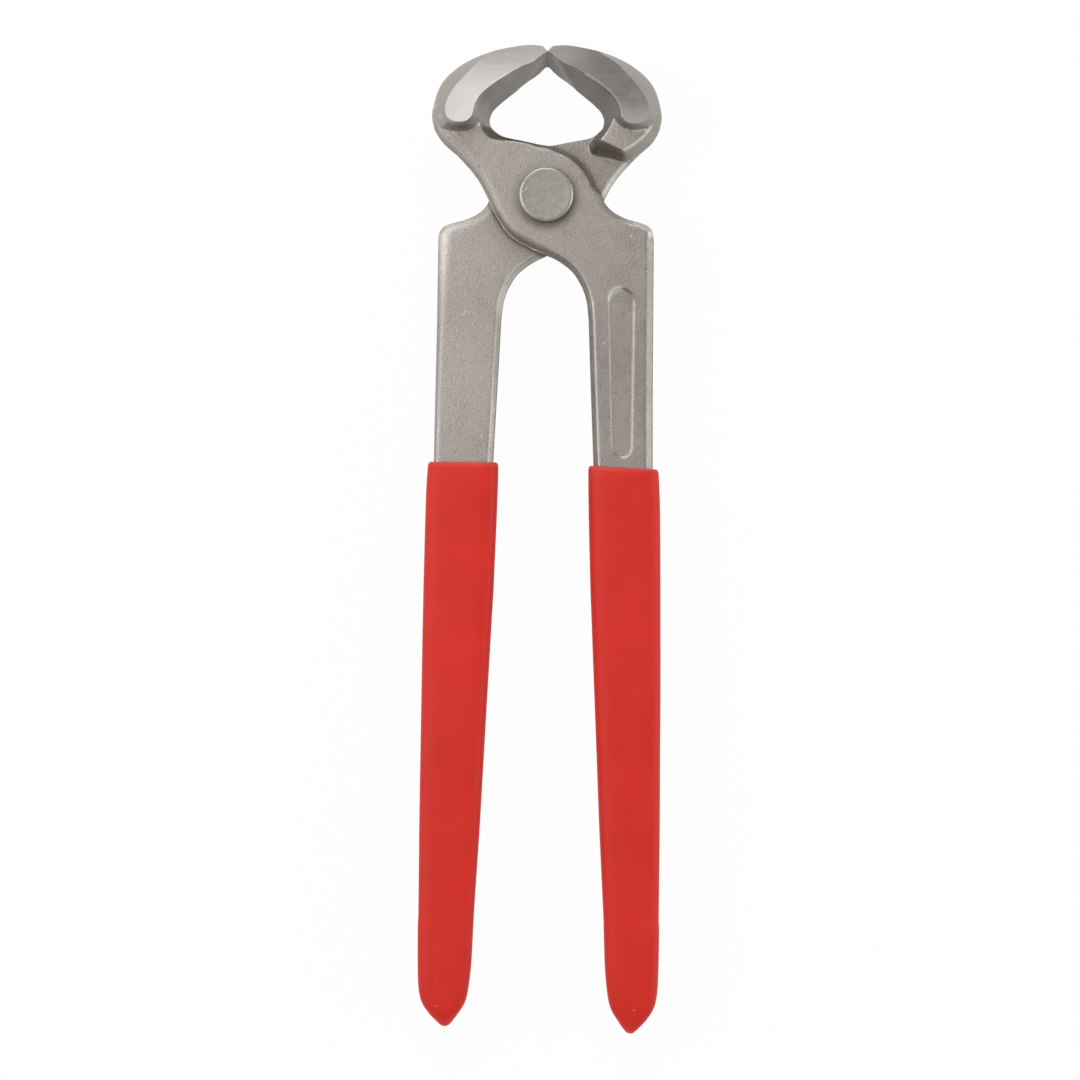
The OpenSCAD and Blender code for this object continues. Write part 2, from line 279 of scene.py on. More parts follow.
@dataclass
class Handle:
    """The steel handle's plan and thickness, in millimetres about the rivet."""

    half_width: float = 28.85
    shoulder_run: float = 31.5
    end: float = 207.6
    width: float = 15.1
    thick: float = 8.0
    plate: float = 6.3
    lap: float = 0.1
    shoulder_outer_shares: Rows = (
        (.367, -.165), (.437, -.076), (.489, -.006), (.530, .067), (.600, .130), (.711, .181),
        (.839, .214), (.919, .250), (.950, .314), (.955, .450), (.956, .640))
    shoulder_inner_shares: Rows = (
        (-.235, .362), (-.160, .404), (-.075, .443), (.005, .473), (.094, .510), (.166, .552),
        (.220, .592), (.264, .635), (.305, .695), (.338, .756), (.371, .857))
    # How far down the run, and there the outer edge's place, the width and the thickness, all as shares
    run_shares: Rows = (
        (0.000, 0.957, 1.087, 1.00), (0.100, 0.962, 1.045, 1.00), (0.208, 0.969, 1.000, 1.00),
        (0.387, 0.985, 0.960, 1.00), (0.560, 0.994, 0.880, 0.99), (0.740, 0.999, 0.790, 0.97),
        (0.880, 1.000, 0.700, 0.93), (0.945, 0.990, 0.640, 0.86), (0.980, 0.955, 0.470, 0.72),
        (1.000, 0.905, 0.260, 0.50))
    level_start: float = 18.0
    level_end: float = 68.0

    def run_column(self, y: Array, column: int) -> Array:
        """Looks up one column of the run's shares at heights y."""
        rows = np.array(self.run_shares)
        share = (-y - self.shoulder_run) / (self.end - self.shoulder_run)
        return np.interp(share, rows[:, 0], rows[:, column])

    def outer(self, y: Array) -> Array:
        """Gives the outer edge's x on the straight run."""
        return self.half_width * self.run_column(y, 1)

    def inner(self, y: Array) -> Array:
        """Gives the inner edge's x on the straight run."""
        return self.outer(y) - self.width * self.run_column(y, 2)

    def taper(self, y: Array) -> Array:
        """Gives the share of the full thickness that is left."""
        return self.run_column(y, 3)

    def level(self, y: Array) -> Array:
        """Gives how far the faces have moved from the joint's to the grip's."""
        share = np.clip((-y - self.level_start) / (self.level_end - self.level_start), 0.0, 1.0)
        return share - np.sin(math.tau * share) / math.tau

    def edges(self) -> tuple[Array, Array]:
        """Gives the outer and the inner edge from the hub down to the steel's end."""
        size = np.array([self.half_width, -self.shoulder_run])
        places = np.array([row[0] for row in self.run_shares])
        y = -(self.shoulder_run + places * (self.end - self.shoulder_run))
        lines = []
        sides = ((self.shoulder_outer_shares, self.outer), (self.shoulder_inner_shares, self.inner))
        for shares, edge in sides:
            start = np.array([[edge(y[0]), y[0]]])
            bend = smooth_curve(np.vstack([np.array(shares) * size, start]), 6)
            lines.append(np.vstack([bend, np.column_stack([edge(y[1:]), y[1:]])]))
        return lines[0], lines[1]

    def high(self, y: Array) -> Array:
        """Gives the height of the outer face."""
        level = self.level(y)
        return (self.plate + (self.thick / 2 - self.plate) * level) * self.taper(y)

    def low(self, y: Array) -> Array:
        """Gives the height of the lap side's face."""
        level = self.level(y)
        return (self.lap + (-self.thick / 2 - self.lap) * level) * self.taper(y)


@dataclass
class Survey:
    """What is measured at each point of the forging's plan, in millimetres.

    A depth is a distance in from an outline, and a share runs from 0 to 1.
    """

    x: Array
    y: Array
    on_plate: Array
    depth: Array
    depth_turned: Array
    handle_share: Array
    outer_share: Array
    throat_share: Array
    to_outer: Array
    to_inner: Array
    to_neck: Array
    face_depth: Array
    foot_depth: Array
    panel_depth: Array
    across_panel: Array
    above_panel: Array
    heel_share: Array
    patch_depth: Array
    to_patch: Array
    jaw: Array
    lap_jaw: Array
    heel: Array

    def off_face(self) -> Array:
        """Tells which points lie beside the ground face."""
        return self.face_depth < 0.0

    def nearer_inner(self) -> Array:
        """Tells which points lie nearer the ground face's inner edge than its outer one."""
        return self.to_inner < self.to_outer


@dataclass
class Coat:
    """The wear and the grime, with painted highlights and painted shade among them, gathered for both sides,
    where the strongest mark counts.
    """

    count: int

    def __post_init__(self) -> None:
        """Starts with clean skin."""
        self.worn_and_lit, self.grime_and_shade = np.zeros((2, self.count)), np.zeros((2, self.count))

    def wear_and_highlight(self, side: Side, *marks: Array) -> None:
        """Adds bright marks to one side: wear and painted highlights."""
        self.worn_and_lit[side.value] = np.maximum.reduce([self.worn_and_lit[side.value], *marks])

    def add_grime_and_shade(self, side: Side, *marks: Array) -> None:
        """Adds dark marks to one side: grime and painted shade."""
        self.grime_and_shade[side.value] = np.maximum.reduce([self.grime_and_shade[side.value], *marks])


@dataclass(frozen=True)
class JawMarks:
    """The marks on the jaw beside its ground face, with strengths from 0 to about 1: wear, nicks, and painted
    shade below the ground face, on the crown and near the tip.
    """

    edge_line: Band = Band(0.0, 0.16)
    edge_start: Fade = Fade(18.6, 19.6)
    edge_end: float = 30.0
    # Small bright nicks: x, y, reach and strength
    chips: Rows = (
        (-27.1, 19.5, .34, .8), (-26.2, 17.6, .34, .7), (-28.7, 22.6, .30, 1.2), (-3.5, 33.0, .32, 1.1),
        (-5.3, 31.5, .26, 1.0), (-8.7, 29.4, .90, .35))
    lap_chips: Rows = ((-21.3, 24.7, .30, .4),)
    facet_line: Rows = ((-3.2, 33.0), (-7.0, 28.0))
    facet_side: Fade = Fade(0.3, -0.3)
    facet_low: float = 26.0
    facet_wear: float = 0.72
    facet_lap_wear: float = 1.12
    throat_rise: Fade = Fade(16.5, 19.0)
    throat_wear: float = 0.79
    throat_lap_wear: float = 0.33
    crown_rise: Fade = Fade(17.0, 20.0)
    crown_shade: float = 0.11
    tip_low: float = 30.0
    tip_side: Fade = Fade(-1.7, -0.3)
    tip_shade: float = 0.15
    # The foot carries painted shadow in two bands of the jaw's height
    foot_band: Band = Band(9.2, 1.7)
    foot_line: Band = Band(6.7, 0.8)
    foot_line_shadow: float = 0.5
    foot_fall: Fade = Fade(18.6, 17.0)
    foot_side: Fade = Fade(-19.2, -21.2)
    foot_least: float = 0.25
    lap_foot_band: Band = Band(8.4, 2.2)
    lap_foot_fall: Fade = Fade(20.4, 18.6)
    lap_foot_side: Fade = Fade(-22.4, -20.6)
    lap_foot_rim: Fade = Fade(-26.8, -25.4)
    lap_foot_least: float = 0.04
    below_line: Band = Band(-0.75, 0.35)
    below_place: Band = Band(-24.3, 1.3)
    below_heel: float = 5.0
    below_shade: float = 0.24
    lap_line: Band = Band(0.16, 0.24)
    lap_line_start: Fade = Fade(-20.5, -22.8)
    lap_line_end: Fade = Fade(-26.3, -25.7)
    lap_line_high: float = 18.5
    lap_line_wear: float = 0.85

    def facet(self, survey: Survey) -> Array:
        """Gives the flat facet between the cutting edge and the throat."""
        (x1, y1), (x2, y2) = self.facet_line
        away = ((survey.x - x1) * (y2 - y1) - (survey.y - y1) * (x2 - x1)) / math.hypot(x2 - x1, y2 - y1)
        beside = survey.off_face() * survey.nearer_inner() * (survey.y > self.facet_low)
        return self.facet_side.at(away) * beside

    def lay(self, survey: Survey, coat: Coat) -> None:
        """Lays the jaw's marks on both sides."""
        x, y, off_face = survey.x, survey.y, survey.off_face()
        edge = self.edge_line.at(survey.to_inner) * (y < self.edge_end) * self.edge_start.at(y)
        facet = self.facet(survey)
        throat = off_face * survey.nearer_inner() * self.throat_rise.at(y)
        coat.wear_and_highlight(Side.OUTER, edge, spots(x, y, self.chips), facet * self.facet_wear,
                  throat * self.throat_wear)
        line = self.lap_line.at(survey.foot_depth) * self.lap_line_start.at(x) * self.lap_line_end.at(x)
        line = line * (y < self.lap_line_high)
        coat.wear_and_highlight(Side.LAP, edge, spots(x, y, self.lap_chips), facet * self.facet_lap_wear,
                  throat * self.throat_lap_wear, line * self.lap_line_wear)
        # Painted shadow on the wall below the ground face, weaker towards the middle of the tool.
        foot = self.foot_band.at(survey.jaw) + self.foot_line_shadow * self.foot_line.at(survey.jaw)
        foot = foot * self.foot_fall.at(y) * off_face
        foot = foot * (self.foot_least + (1.0 - self.foot_least) * self.foot_side.at(x))
        # Painted shade on the crown and beside the tip's cutting edge.
        crown = off_face * (survey.to_outer < survey.to_inner) * self.crown_rise.at(y)
        tip = off_face * (y > self.tip_low) * self.tip_side.at(x)
        coat.add_grime_and_shade(Side.OUTER, foot, crown * self.crown_shade, tip * self.tip_shade)
        # Painted shade on the lap side's wall below the ground face.
        lap_foot = self.lap_foot_band.at(survey.lap_jaw) * self.lap_foot_fall.at(y) * off_face
        lap_foot = lap_foot * (self.lap_foot_least + (1.0 - self.lap_foot_least) * self.lap_foot_side.at(x))
        lap_foot = lap_foot * self.lap_foot_rim.at(x)
        # Painted shade just outside the end of the lap side's foot, where the heel rises.
        below = self.below_line.at(survey.foot_depth) * self.below_place.at(x) * self.below_shade
        coat.add_grime_and_shade(Side.LAP, lap_foot, below * (survey.heel > self.below_heel), tip)


@dataclass(frozen=True)
class HeelMarks:
    """The marks on the lap side's heel and on the neck beside it; the heel's end wall carries grime and
    painted shade, with a painted highlight along its fillet.
    """

    patch_line: Band = Band(0.0, 0.3)
    patch_high: float = 19.5
    patch_light: Fade = Fade(0.0, 0.6)
    patch_wear: float = 0.12
    low_jaw: float = 6.3
    wall_band: Band = Band(2.9, 1.9)
    wall_line: Band = Band(1.7, 0.4)
    wall_line_light: float = 0.28
    wall_foot: float = 0.1
    wall_high: float = 14.5
    wall_side: Fade = Fade(-20.8, -19.2)
    wall_grime_and_shade: float = 0.85
    neck_band: Band = Band(0.8, 0.6)
    neck_jaw: float = 1.0
    neck_heel: float = 0.5
    neck_wear: float = 0.66

    def lay(self, survey: Survey, coat: Coat) -> None:
        """Lays the heel's and the neck's marks on the lap side."""
        x, y, below_jaw = survey.x, survey.y, survey.lap_jaw < self.low_jaw
        line = self.patch_line.at(survey.to_patch) * (y < self.patch_high) * below_jaw
        patch = self.patch_light.at(survey.patch_depth) * below_jaw * self.patch_wear
        neck = self.neck_band.at(survey.to_neck) * (survey.lap_jaw < self.neck_jaw)
        neck = neck * (survey.heel < self.neck_heel) * (x < 0.0) * self.neck_wear
        coat.wear_and_highlight(Side.LAP, line, patch, neck)
        # Grime and painted shade on the heel's end wall, lifted along its fillet by a painted highlight.
        wall = self.wall_band.at(survey.heel) * (survey.heel > self.wall_foot) * (y < self.wall_high)
        wall = wall * self.wall_side.at(x)
        coat.add_grime_and_shade(Side.LAP, wall * (self.wall_grime_and_shade - self.wall_line_light * self.wall_line.at(survey.heel)))


@dataclass(frozen=True)
class PlateMarks:
    """The marks on the lap's round plate: its rim, its wall with grime and painted shade, the painted shadow
    ring round the rivet and the painted shade of the other lever.
    """

    low_jaw: float = 4.5
    rim_line: Band = Band(1.1, 0.16)
    rim_fade: Fade = Fade(8.0, 2.0)
    rim_wear: float = 0.45
    foot_line: Band = Band(0.13, 0.10)
    foot_fade: Fade = Fade(2.0, -4.0)
    foot_wear: float = 0.66
    wall_height: Fade = Fade(6.1, 4.6)
    wall_fall: Fade = Fade(19.0, 17.0)
    wall_grime_and_shade: float = 0.25
    throat_grime_and_shade: float = 0.34
    throat_least: float = 0.3
    upper_rise: Fade = Fade(-1.0, 4.0)
    upper_side: Fade = Fade(-13.0, -9.0)
    upper_shade: float = 0.9
    ring_shadow_band: Band = Band(7.2, 1.5)
    ring_shadow: float = 0.65
    ring_shadow_lean: float = 0.46
    ring_turn: float = 0.2
    ring_least: float = 1.0
    pits: Rows = ((4.6, -9.5, .32, 1.0), (-17.2, 7.1, .32, 1.0), (18.4, -65.3, .32, 1.0))
    shade_line: Band = Band(0.0, 0.70)
    shade_reach: float = 1.1
    shade_tail: float = 0.40
    shade_heel: float = 0.3
    shade_start: Fade = Fade(-22.0, -18.0)
    scrape_across: Band = Band(-7.6, 2.6)
    scrape_along: Band = Band(12.1, 1.3)
    scrape_lines: float = 6.5
    scrape_grime: float = 0.25

    def lay(self, survey: Survey, top: Array, coat: Coat) -> None:
        """Lays the plate's marks.

        Args:
            survey: What was measured over the plan.
            top: The height of the outer side.
            coat: The marks gathered so far.
        """
        x, y = survey.x, survey.y
        plate = (1.0 - survey.handle_share) * survey.on_plate
        rim = self.rim_line.at(survey.depth) * self.rim_wear * self.rim_fade.at(x)
        rim = rim + self.foot_line.at(survey.depth) * self.foot_wear * self.foot_fade.at(y) * (x < 0.0)
        coat.wear_and_highlight(Side.OUTER, plate * (survey.jaw < self.low_jaw) * rim)
        # Grime and painted shade on the plate's wall, with a strong painted shade on its upper part.
        in_throat = survey.throat_share > self.throat_least
        upper = self.upper_rise.at(y) * self.upper_side.at(x) * self.upper_shade
        wall = np.maximum(np.where(in_throat, self.throat_grime_and_shade, self.wall_grime_and_shade), upper)
        wall = wall * self.wall_height.at(top) * plate * self.wall_fall.at(y)
        # A painted shadow ring round the rivet's head, darker on its lower side.
        away = np.hypot(x, y)
        lean = self.ring_shadow_lean * (y - self.ring_turn * x) / np.maximum(away, self.ring_least)
        ring = self.ring_shadow_band.at(away) * (self.ring_shadow - lean)
        coat.add_grime_and_shade(Side.OUTER, wall, ring, spots(x, y, self.pits))
        # Painted shade along the outline of the other lever's plate.
        shade = self.shade_line.at(survey.depth_turned)
        shade = shade + self.shade_tail * np.exp(-survey.depth_turned / self.shade_reach)
        shade = shade * survey.on_plate * (survey.heel < self.shade_heel) * self.shade_start.at(y)
        scrape = self.scrape_across.at(x) * self.scrape_along.at(y)
        scrape = scrape * (1.0 + np.sin(x * self.scrape_lines + np.sin(y))) * self.scrape_grime
        coat.add_grime_and_shade(Side.LAP, shade, scrape)


@dataclass(frozen=True)
class HandleMarks:
    """The marks on the bare handle: its edges, its bevels and the oiled face, with painted highlights on its
    rounded edge and its chamfer.
    """

    inner_most: float = 0.1
    bevel_line: Band = Band(1.28, 0.17)
    bevel_fade: Fade = Fade(-19.0, -30.0)
    bevel_wear: float = 0.8
    bevel_lap_fade: Fade = Fade(-30.0, -40.0)
    bevel_lap_wear: float = 0.35
    bevel_lap_gain: float = 0.40
    chamfer_fade: Fade = Fade(1.5, 1.2)
    chamfer_rise: Fade = Fade(-11.2, -9.6)
    chamfer_side: Fade = Fade(17.5, 22.5)
    chamfer_highlight: float = 0.6
    chamfer_width: float = 1.95
    chamfer_grime: float = 0.10
    arch_band: Fade = Fade(1.7, 1.3)
    arch_lines: tuple[Band, ...] = (Band(0.3, 0.2), Band(1.35, 0.2))
    arch_fade: Fade = Fade(-34.0, -26.0)
    arch_band_wear: float = 0.42
    arch_line_wear: float = 0.6
    # The shoulder's rounded corner: its place, its reach and how it widens the edge's painted highlight
    corner: Pair = (26.5, -9.0)
    corner_reach: float = 5.0
    round_line: Band = Band(1.3, 0.9)
    round_wear: float = 0.02
    corner_highlight: float = 0.6
    crest_line: Band = Band(0.45, 0.4)
    crest_rise: Fade = Fade(-13.0, -9.0)
    crest_highlight: float = 0.68
    crease_line: Band = Band(2.1, 0.22)
    crease_side: Fade = Fade(24.0, 25.5)
    crease_grime: float = 0.30
    face_fade: Fade = Fade(-8.0, -16.0)
    face_grime: float = 0.05
    oil_fade: Fade = Fade(-16.0, -30.0)
    oil_grime: float = 0.20
    oil_rub: Fade = Fade(-40.0, -60.0)
    oil_rubbed: float = 0.10
    band_edge: Fade = Fade(1.25, 1.05)
    band_grime: float = 0.30

    def rounded(self, survey: Survey) -> Array:
        """Gives the bright line of the rounded outer edge, a faint worn line and a painted highlight that
        widens at the shoulder's corner, with a painted highlight along the crest.
        """
        corner_x, corner_y = self.corner
        corner = np.exp(-np.hypot(survey.x - corner_x, survey.y - corner_y) / self.corner_reach)
        away = (survey.depth - self.round_line.middle - corner) / (self.round_line.width + corner)
        edge = np.exp(-away ** 2) * (self.round_wear + self.corner_highlight * corner)
        crest = self.crest_line.at(survey.depth) * self.crest_rise.at(survey.y) * self.crest_highlight
        return np.maximum(edge, crest) * survey.handle_share * survey.outer_share

    def lay(self, survey: Survey, coat: Coat) -> None:
        """Lays the handle's marks on both sides."""
        x, y, depth = survey.x, survey.y, survey.depth
        inner = survey.handle_share * (survey.outer_share < self.inner_most)
        outer = survey.handle_share * survey.outer_share
        bevel = self.bevel_line.at(depth) * inner
        # A painted highlight round the outer chamfer's corner.
        chamfer = self.chamfer_fade.at(depth) * outer * self.chamfer_rise.at(y) * self.chamfer_side.at(x)
        coat.wear_and_highlight(Side.OUTER, bevel * self.bevel_wear * self.bevel_fade.at(y), chamfer * self.chamfer_highlight)
        arch = self.arch_line_wear * sum(line.at(depth) for line in self.arch_lines)
        arch = (self.arch_band_wear * self.arch_band.at(depth) + arch) * inner * self.arch_fade.at(y)
        low = self.bevel_lap_fade.at(y)
        bevel = bevel * (self.bevel_lap_wear + self.bevel_lap_gain * low)
        coat.wear_and_highlight(Side.LAP, bevel, arch, self.rounded(survey))
        crease = self.crease_line.at(depth) * outer * self.crease_side.at(x) * self.crease_grime
        coat.add_grime_and_shade(Side.OUTER, crease, (depth < self.chamfer_width) * outer * self.chamfer_grime,
                  self.face_fade.at(y) * self.face_grime)
        oiled = self.oil_fade.at(y) * (self.oil_grime - self.oil_rubbed * self.oil_rub.at(y))
        coat.add_grime_and_shade(Side.LAP, oiled, self.band_edge.at(depth) * inner * low * self.band_grime)


@dataclass(frozen=True)
class PanelLightAndShade:
    """Painted light and shade on the recessed panel: a painted highlight along its rim and on the lit half of
    its arch, and painted shade on its wall.
    """

    rim_line: Band = Band(0.02, 0.16)
    rim_least: float = 0.08
    rim_gain: float = 0.50
    right_side: Fade = Fade(-0.3, 0.9)
    arch_start: Fade = Fade(-0.4, 0.4)
    arch_band: Band = Band(0.25, 0.5)
    arch_rise: Fade = Fade(0.6, 2.4)
    arch_least: float = 0.35
    arch_gain: float = 0.85
    wall_margin: Pair = (0.05, 0.1)
    panel_arch_shade: float = 0.5
    panel_side_shade: float = 0.38

    def lay(self, survey: Survey, wall_width: float, coat: Coat) -> None:
        """Lays the panel's painted light and shade on the outer side.

        Args:
            survey: What was measured over the plan.
            wall_width: The width of the panel's sloping wall.
            coat: The marks gathered so far.
        """
        right, arch = self.right_side.at(survey.across_panel), self.arch_start.at(survey.above_panel)
        rim = self.rim_line.at(survey.panel_depth) * (self.rim_least + self.rim_gain * right) * (1.0 - arch)
        light = self.arch_band.at(survey.panel_depth) * arch * (1.0 - right)
        light = light * (self.arch_least + self.arch_gain * self.arch_rise.at(survey.above_panel))
        coat.wear_and_highlight(Side.OUTER, rim + light)
        wall = survey.panel_depth > -self.wall_margin[0]
        wall = wall * (survey.panel_depth < wall_width + self.wall_margin[1])
        coat.add_grime_and_shade(Side.OUTER, wall * arch * right * self.panel_arch_shade,
                  wall * (1.0 - arch) * (survey.across_panel < 0.0) * self.panel_side_shade)


@dataclass(frozen=True)
class GroundReflectionAndCoarseness:
    """How bright the ground faces are painted, as a painted reflection that differs between the sides and
    fades towards the tip and across the crown, and where the skin beside them is coarse.
    """

    tip: Fade = Fade(24.0, 37.0)
    tip_loss: float = 0.62
    crown: Fade = Fade(-18.0, -26.0)
    crown_loss: float = 0.12
    lap_least: float = 0.06
    lap_tip: Fade = Fade(-14.0, -1.0)
    lap_tip_gain: float = 0.37
    lap_low: Fade = Fade(25.5, 17.0)
    lap_low_gain: float = 0.59
    coarse_spot: Rows = ((-22.5, 14.0, 3.6, 1.0),)
    lap_coarse: float = 0.2

    def painted_reflection(self, survey: Survey) -> Array:
        """Gives the painted reflection's brightness on the outer side, then on the lap side."""
        x, y = survey.x, survey.y
        bright = 1.0 - self.tip_loss * self.tip.at(y) - self.crown_loss * self.crown.at(x)
        dull = self.lap_least + self.lap_tip_gain * self.lap_tip.at(x)
        return np.concatenate([bright, dull + self.lap_low_gain * self.lap_low.at(y)])

    def coarse(self, survey: Survey) -> Array:
        """Gives the coarseness of the outer side, then of the lap side."""
        rough = spots(survey.x, survey.y, self.coarse_spot)
        return np.concatenate([rough, rough * self.lap_coarse])


@dataclass
class Forging:
    """The lever's forging, the same for both: jaw on -X, handle on +X, lap face down, in millimetres."""

    handle: Handle
    bore: float = 4.05
    half_span: float = 29.3
    reach: float = 37.8
    edge_top: float = 35.9
    edge_low: float = 35.5
    edge_gap: float = 0.004
    half_width: float = 12.5
    plate: float = 6.3
    lap: float = 0.05
    hub_radius: float = 12.9
    hub_shift: float = 0.424
    hub_sides: int = 240
    bore_sides: int = 48
    slot_width: float = 6.2
    slot_flare: float = 0.35
    slot_length: float = 43.4
    slot_end: float = 67.0
    slot_shift: float = -0.42
    slot_middle_share: float = 2 / 3
    slot_depth: float = 0.4
    slot_wall: float = 0.6
    arc_points: int = 15
    crown_power: float = 0.66
    bevel_foot: Pair = (7.5, 27.6)
    bevel_points: int = 24
    face_step: float = 0.4
    overrun_share: float = 0.1
    joint_gap: float = 0.1

    # The jaw's plan as shares of half the head's width and of the jaws' reach, drawn on +X
    crown_shares: Rows = (
        (.014, .962), (.031, .979), (.066, .989), (.205, 1.0), (.471, .982), (.727, .902), (.920, .767),
        (1.0, .580), (.990, .481), (.973, .444))
    throat_shares: Rows = (
        (.0, .822), (.10, .800), (.187, .763), (.252, .728), (.325, .684), (.412, .628), (.474, .577),
        (.499, .526), (.495, .492), (.488, .473))
    jaw_end_shares: Rows = ((.974, .452), (.488, .473))
    face_outer_shares: Rows = (
        (.020, .953), (.038, .969), (.074, .976), (.190, .978), (.400, .948), (.478, .920), (.600, .860),
        (.733, .754), (.803, .690), (.852, .625), (.876, .560), (.870, .511), (.843, .483), (.800, .467),
        (.757, .463))
    face_inner_shares: Rows = (
        (.0, .936), (.030, .925), (.112, .877), (.150, .860), (.242, .829), (.370, .769), (.467, .720),
        (.570, .652), (.625, .582), (.640, .528), (.653, .501), (.677, .480), (.712, .467), (.757, .463))
    foot_end_shares: Rows = (
        (.985, .440), (.950, .408), (.870, .391), (.757, .384), (.650, .398), (.570, .432), (.515, .468))
    lap_end_shares: Rows = (
        (.975, .452), (.930, .440), (.850, .437), (.757, .434), (.650, .446), (.580, .470), (.520, .490))
    neck_outer_shares: Rows = (
        (.993, .500), (.936, .392), (.782, .278), (.625, .143), (.532, .024), (.454, -.106), (.396, -.180))
    neck_inner_shares: Rows = (
        (.500, .505), (.478, .461), (.385, .408), (.205, .378), (.072, .356), (-.048, .339), (-.143, .291))
    neck_root_shares: Rows = ((.560, .600), (.780, .610), (.930, .545))
    heel_outer_shares: Rows = ((1.0, .590), (.992, .500), (.973, .442), (.887, .349), (.755, .264))
    heel_inner_shares: Rows = ((.499, .590), (.501, .526), (.487, .472), (.436, .428), (.368, .352))
    heel_end_shares: Rows = (
        (.755, .264), (.700, .251), (.635, .257), (.532, .275), (.400, .298), (.368, .352))
    patch_outer_shares: Rows = ((.925, .590), (.917, .520), (.894, .460), (.805, .378), (.668, .304))
    patch_inner_shares: Rows = ((.575, .590), (.575, .520), (.556, .474), (.519, .424), (.471, .374))

    # How the plate's wall rises: distance in from the outline, height over the lap face
    plate_wall: Rows = (
        (-.4, 0.), (0., 1.55), (.20, 1.62), (.28, 2.1), (.80, 5.05), (1.08, 5.7), (1.4, 6.06), (1.9, 6.24),
        (2.5, 6.3))
    throat_wall: Rows = (
        (-.4, 0.), (0., 1.4), (.30, 1.75), (.80, 2.9), (1.15, 4.4), (1.34, 5.6), (1.5, 6.05), (1.75, 6.25),
        (2.1, 6.3))
    # How much wider the throat's wall is, by its place across the tool
    throat_spread: Rows = ((-14.5, 1.75), (-12.5, 1.30), (-10.2, .80), (-5.0, .60), (-1.0, .54))
    throat_near: Fade = Fade(4.0, 1.5)
    throat_side: Fade = Fade(-2.0, -6.0)
    # How an edge falls away: distance in from it, drop below the face
    outer_bevel: Rows = ((0., 1.85), (.14, 1.35), (.35, 1.12), (1.75, .10), (2.0, .02), (2.25, 0.))
    inner_bevel: Rows = ((0., 1.75), (.15, 1.35), (.4, 1.02), (1.12, .12), (1.3, .03), (1.5, 0.))
    lap_outer_bevel: Rows = (
        (0., 1.35), (.08, 1.12), (.25, .95), (.85, .56), (1.6, .22), (2.4, .06), (3.0, .01), (3.5, 0.))
    lap_inner_bevel: Rows = (
        (0., 1.3), (.15, .95), (.55, .70), (.75, .52), (1.25, .14), (1.5, .03), (1.9, 0.))
    neck_bevel: Rows = ((0., 1.05), (.12, .92), (1.45, .10), (1.7, .02), (1.95, 0.))
    neck_clear_share: float = 0.9
    bevel_limit_share: float = 0.42
    # Where the plate turns into the handle, and where its edges narrow or change over
    handle_fade: Fade = Fade(6.5, 14.0)
    edge_blend: Fade = Fade(-1.5, 1.5)
    run_fade: Fade = Fade(-12.0, -60.0)
    run_narrowing: float = 1.5
    shoulder_fade: Fade = Fade(-11.5, -8.5)
    shoulder_narrowing: float = 0.45
    crown_rise: Fade = Fade(16.0, 20.5)
    # The fillets where the jaw and the heel meet the plate, and how steeply they end outside their feet
    jaw_fillet: float = 1.3
    heel_fillet: float = 0.5
    lap_fillet: float = 0.8
    skirt: float = 4.0
    heel_margin_share: float = 0.3
    jaw_margin: float = 1.0
    # The light rolling of the blasted faces: its depth, where it ends and its waves in radians
    unevenness: float = 0.03
    rolling_margin: float = 0.2
    rolling_least: float = 1.0
    fine_wave: tuple[float, float, float, float] = (1.31, 0.43, 1.07, 0.59)
    broad_wave: tuple[float, float, float, float] = (0.47, 0.33, 0.29, 0.21)
    lean_margin: float = 0.05

    # The mesh's spacing, and the rows of points beside the steep walls
    grain: float = 0.42
    grip_mouth: float = 72.0
    grip_grain: float = 1.6
    row_share: float = 0.866
    border_share: float = 0.9
    clear_share: float = 0.5
    least_gap: float = 0.035
    merge_cell: float = 0.05
    merge_limit: float = 1e-5
    rim_sides: int = 190
    crown_rows: Row = (.05, .16, .36, .7)
    outer_rows: Row = (.14, .35, .8, 1.3, 1.75, 2.0)
    inner_rows: Row = (.18, .5, .8, 1.15, 1.45)
    face_rows: Row = (.18,)
    # How near to the cutting edge's line an upright face is still ground
    ground_gap: float = 0.05
    ground_lead: float = 1.0

    def __post_init__(self) -> None:
        """Works out every outline of the plan, the mesh over it, its heights and its marks."""
        self.outline_jaw()
        self.outline_plate()
        self.mesh_plan()
        survey = self.measured()
        self.raise_plan(survey)
        self.mark_skin(survey)

    def outline_jaw(self) -> None:
        """Works out the outlines of the jaw, its ground face, its neck and its heel."""
        past = self.half_span * self.overrun_share
        tip = [-self.edge_gap, self.edge_top]
        low_tip = [tip[0], tip[1] - self.face_step]
        crown = np.vstack([[[past, self.edge_top], tip], self.curve(self.crown_shares)])
        throat = self.started(past, self.throat_shares)
        self.face_outer = np.vstack([[[past, low_tip[1]], low_tip], self.curve(self.face_outer_shares)])
        self.face_inner = self.started(past, self.face_inner_shares)
        self.crown = crown
        self.face = Region(np.vstack([self.face_outer, self.face_inner[-2::-1]]))
        self.foot = Region(np.vstack([crown[:-1], self.curve(self.foot_end_shares), throat[::-1]]))
        self.lap_foot = Region(np.vstack([crown[:-1], self.curve(self.lap_end_shares), throat[::-1]]))
        self.neck_outer = self.curve(self.neck_outer_shares)
        self.neck_inner = self.curve(self.neck_inner_shares)
        root = self.drawn(self.neck_root_shares)
        self.neck = Region(np.vstack([root, self.neck_outer, self.neck_inner[::-1]]))
        heel_outer, heel_inner = self.curve(self.heel_outer_shares), self.curve(self.heel_inner_shares)
        heel_end = self.curve(self.heel_end_shares)[1:-1]
        self.heel = Region(np.vstack([heel_outer, heel_end, heel_inner[::-1]]))
        self.patch_outer = self.curve(self.patch_outer_shares)
        self.patch_inner = self.curve(self.patch_inner_shares)
        self.patch = Region(np.vstack([self.patch_outer, self.patch_inner[::-1]]))

